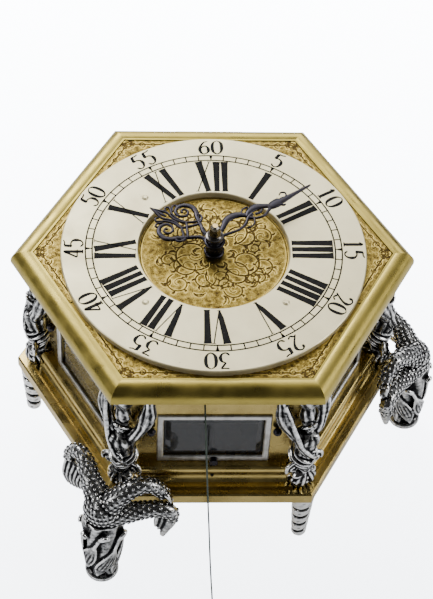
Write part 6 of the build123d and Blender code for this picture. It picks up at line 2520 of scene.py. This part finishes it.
    def scales(self, cast: Piece, rows: RowMaker, material: Material) -> Piece:
        """Covers the trunk, neck and limbs with lapping scales.

        Args:
            cast: The dragon's body.
            rows: The trees that repeat scales.
            material: The finish.

        Returns:
            The scales.
        """
        sites: list[tuple[Vector, Vector, Vector, float]] = []
        runs = (self.neck, self.upper_limb, self.lower_limb[:6])
        for run in runs:
            self.sites_on_limb(cast, self.raised(run), sites)
        middle = Vector((-1.3, 0, self.plate_top + 0.2))
        for level in range(1, 11):
            lift = pi * (level / 11 - 0.5)
            count = max(3, int(2 * pi * 7.2 * cos(lift) / self.scale_step))
            for step in range(count):
                turn = 2 * pi * (step + 0.5 * (level % 2)) / count
                way = Vector((cos(turn) * cos(lift), sin(turn) * cos(lift), sin(lift)))
                self.try_site(cast, middle, middle + way * 7.6, Vector((0, 0, -1)), 1.0, sites, 8.0)
        kept: list[tuple[Vector, Vector, Vector, float]] = []
        for site in sites:
            if all((site[0] - other[0]).length > self.scale_step * 0.72 for other in kept):
                kept.append(site)
        mesh = bpy.data.meshes.new("scale_sites")
        mesh.from_pydata([site[0] * MM for site in kept], [], [])
        for label, index in (("facing", 1), ("heading", 2)):
            layer = mesh.attributes.new(label, "FLOAT_VECTOR", "POINT")
            layer.data.foreach_set("vector", [part for site in kept for part in site[index]])
        girth = mesh.attributes.new("girth", "FLOAT", "POINT")
        girth.data.foreach_set("value", [site[3] for site in kept])
        piece = placed("scale_sites", mesh)
        scale_piece = self.one_scale(material)
        rows.on_sites(piece, scale_piece, 1.0, material)
        piece.data.polygons.foreach_set("use_smooth", [True] * len(piece.data.polygons))
        bpy.data.objects.remove(scale_piece)
        return piece

    def sites_on_limb(self, cast: Piece, run: Sequence[Point], sites: list) -> None:
        """Finds places for scales along one limb.

        Args:
            cast: The dragon's body.
            run: The limb's points.
            sites: The list that the places join.
        """
        line = smooth_line(run, 24)
        travelled, row = 0.0, 0
        for index in range(1, len(line) - 1):
            here, before, after = (Vector(line[i][:3]) for i in (index, index - 1, index + 1))
            travelled += (here - before).length
            if travelled < self.scale_step * 0.92:
                continue
            travelled, row = 0.0, row + 1
            ahead = (after - before).normalized()
            side = ahead.orthogonal().normalized()
            radius = line[index][3]
            count = max(5, int(2 * pi * radius / self.scale_step))
            for step in range(count):
                turn = 2 * pi * (step + 0.5 * (row % 2)) / count
                way = side * cos(turn) + ahead.cross(side) * sin(turn)
                self.try_site(
                    cast, here, here + way * (radius + 0.4), -ahead, 0.78 + 0.06 * radius, sites, radius + 0.9,
                )

    @staticmethod
    def try_site(
        cast: Piece, middle: Vector, seek: Vector, heading: Vector, girth: float, sites: list, limit: float,
    ) -> None:
        """Keeps a place where the skin lies close to its limb.

        Args:
            cast: The dragon's body.
            middle: The limb's middle there.
            seek: The place that is wanted.
            heading: The way the scale points.
            girth: Its size.
            sites: The list that the place joins.
            limit: How far from the middle the skin may lie.
        """
        found, place, normal, _ = cast.closest_point_on_mesh(seek * MM)
        if not found:
            return
        place = place / MM
        way = (seek - middle).normalized()
        strayed = (place - seek).length > 1.3 or (place - middle).length > limit
        if strayed or normal.dot(way) < 0.55:
            return
        flat = heading - normal * heading.dot(normal)
        if flat.length < 0.05:
            return
        sites.append((place.copy(), normal.copy(), flat.normalized(), girth))

    def one_scale(self, material: Material) -> Piece:
        """Makes one raised, round-ended scale.

        Args:
            material: The finish.

        Returns:
            The scale, with its relief attribute.
        """
        shape = ball((0.05, 0, 0.0), (0.80, 0.60, 0.44), sides=10, levels=6)
        shape = shape.moved(Matrix.Rotation(radians(-15), 4, "Y"))
        piece = make_piece("one_scale", shape, material)
        layer = piece.data.attributes.new("relief", "FLOAT", "POINT")
        relief = [
            min(max(0.02 + 1.75 * vert.co.z / MM + 0.22 * vert.co.x / MM, 0.0), 1.0) for vert in piece.data.vertices
        ]
        layer.data.foreach_set("value", relief)
        return piece


# ---------------------------------------------------------------- frame nodes


def dress_frame_nodes(frame: dict, paints: Paintbox) -> None:
    """Gives every node of the frame its finish.

    Args:
        frame: The loaded frame.
        paints: The finishes.
    """
    slots = {slot.value: slot for slot in Slot}
    plain = {Slot.GILT_DIAL: paints.plain_dial, Slot.OXIDISED_SILVER: paints.plain_silver}
    for name, node in frame["nodes"].items():
        for holder in node.material_slots:
            label = holder.material.name.split(".")[0] if holder.material else ""
            slot = slots.get(label)
            if slot is None:
                LOG.warning("%s has no known finish: %s", name, label)
                continue
            holder.material = plain.get(slot) or paints.of(slot)
    LOG.info("%d frame nodes dressed", len(frame["nodes"]))


def main() -> None:
    """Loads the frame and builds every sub-assembly."""
    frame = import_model()
    paints = Paintbox()
    Studio().build(paints.floor)
    PullCord().build(paints)
    rows = RowMaker()
    dress_frame_nodes(frame, paints)
    ring_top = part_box("chapter_ring")[1].z / MM
    ChapterRing(ring_top).build(paints, rows)
    DialEngraving(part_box("dial_plate")[1].z / MM).build(paints)
    arbor_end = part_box("centre_wheel")[1].z / MM
    Hands(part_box("hour_hand")[0].z / MM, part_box("minute_hand")[0].z / MM, arbor_end).build(paints)
    pane_low, pane_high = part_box("window_panes")
    WindowPanes(pane_high.y / MM, pane_low.z / MM, pane_high.z / MM).build(paints)
    RibbedFeet().build(paints)
    CornerFigures().build(paints)
    DragonFeet().build(paints, rows)


if __name__ == "__main__":
    logging.basicConfig(level=logging.INFO, format="%(name)s: %(message)s")
    main()
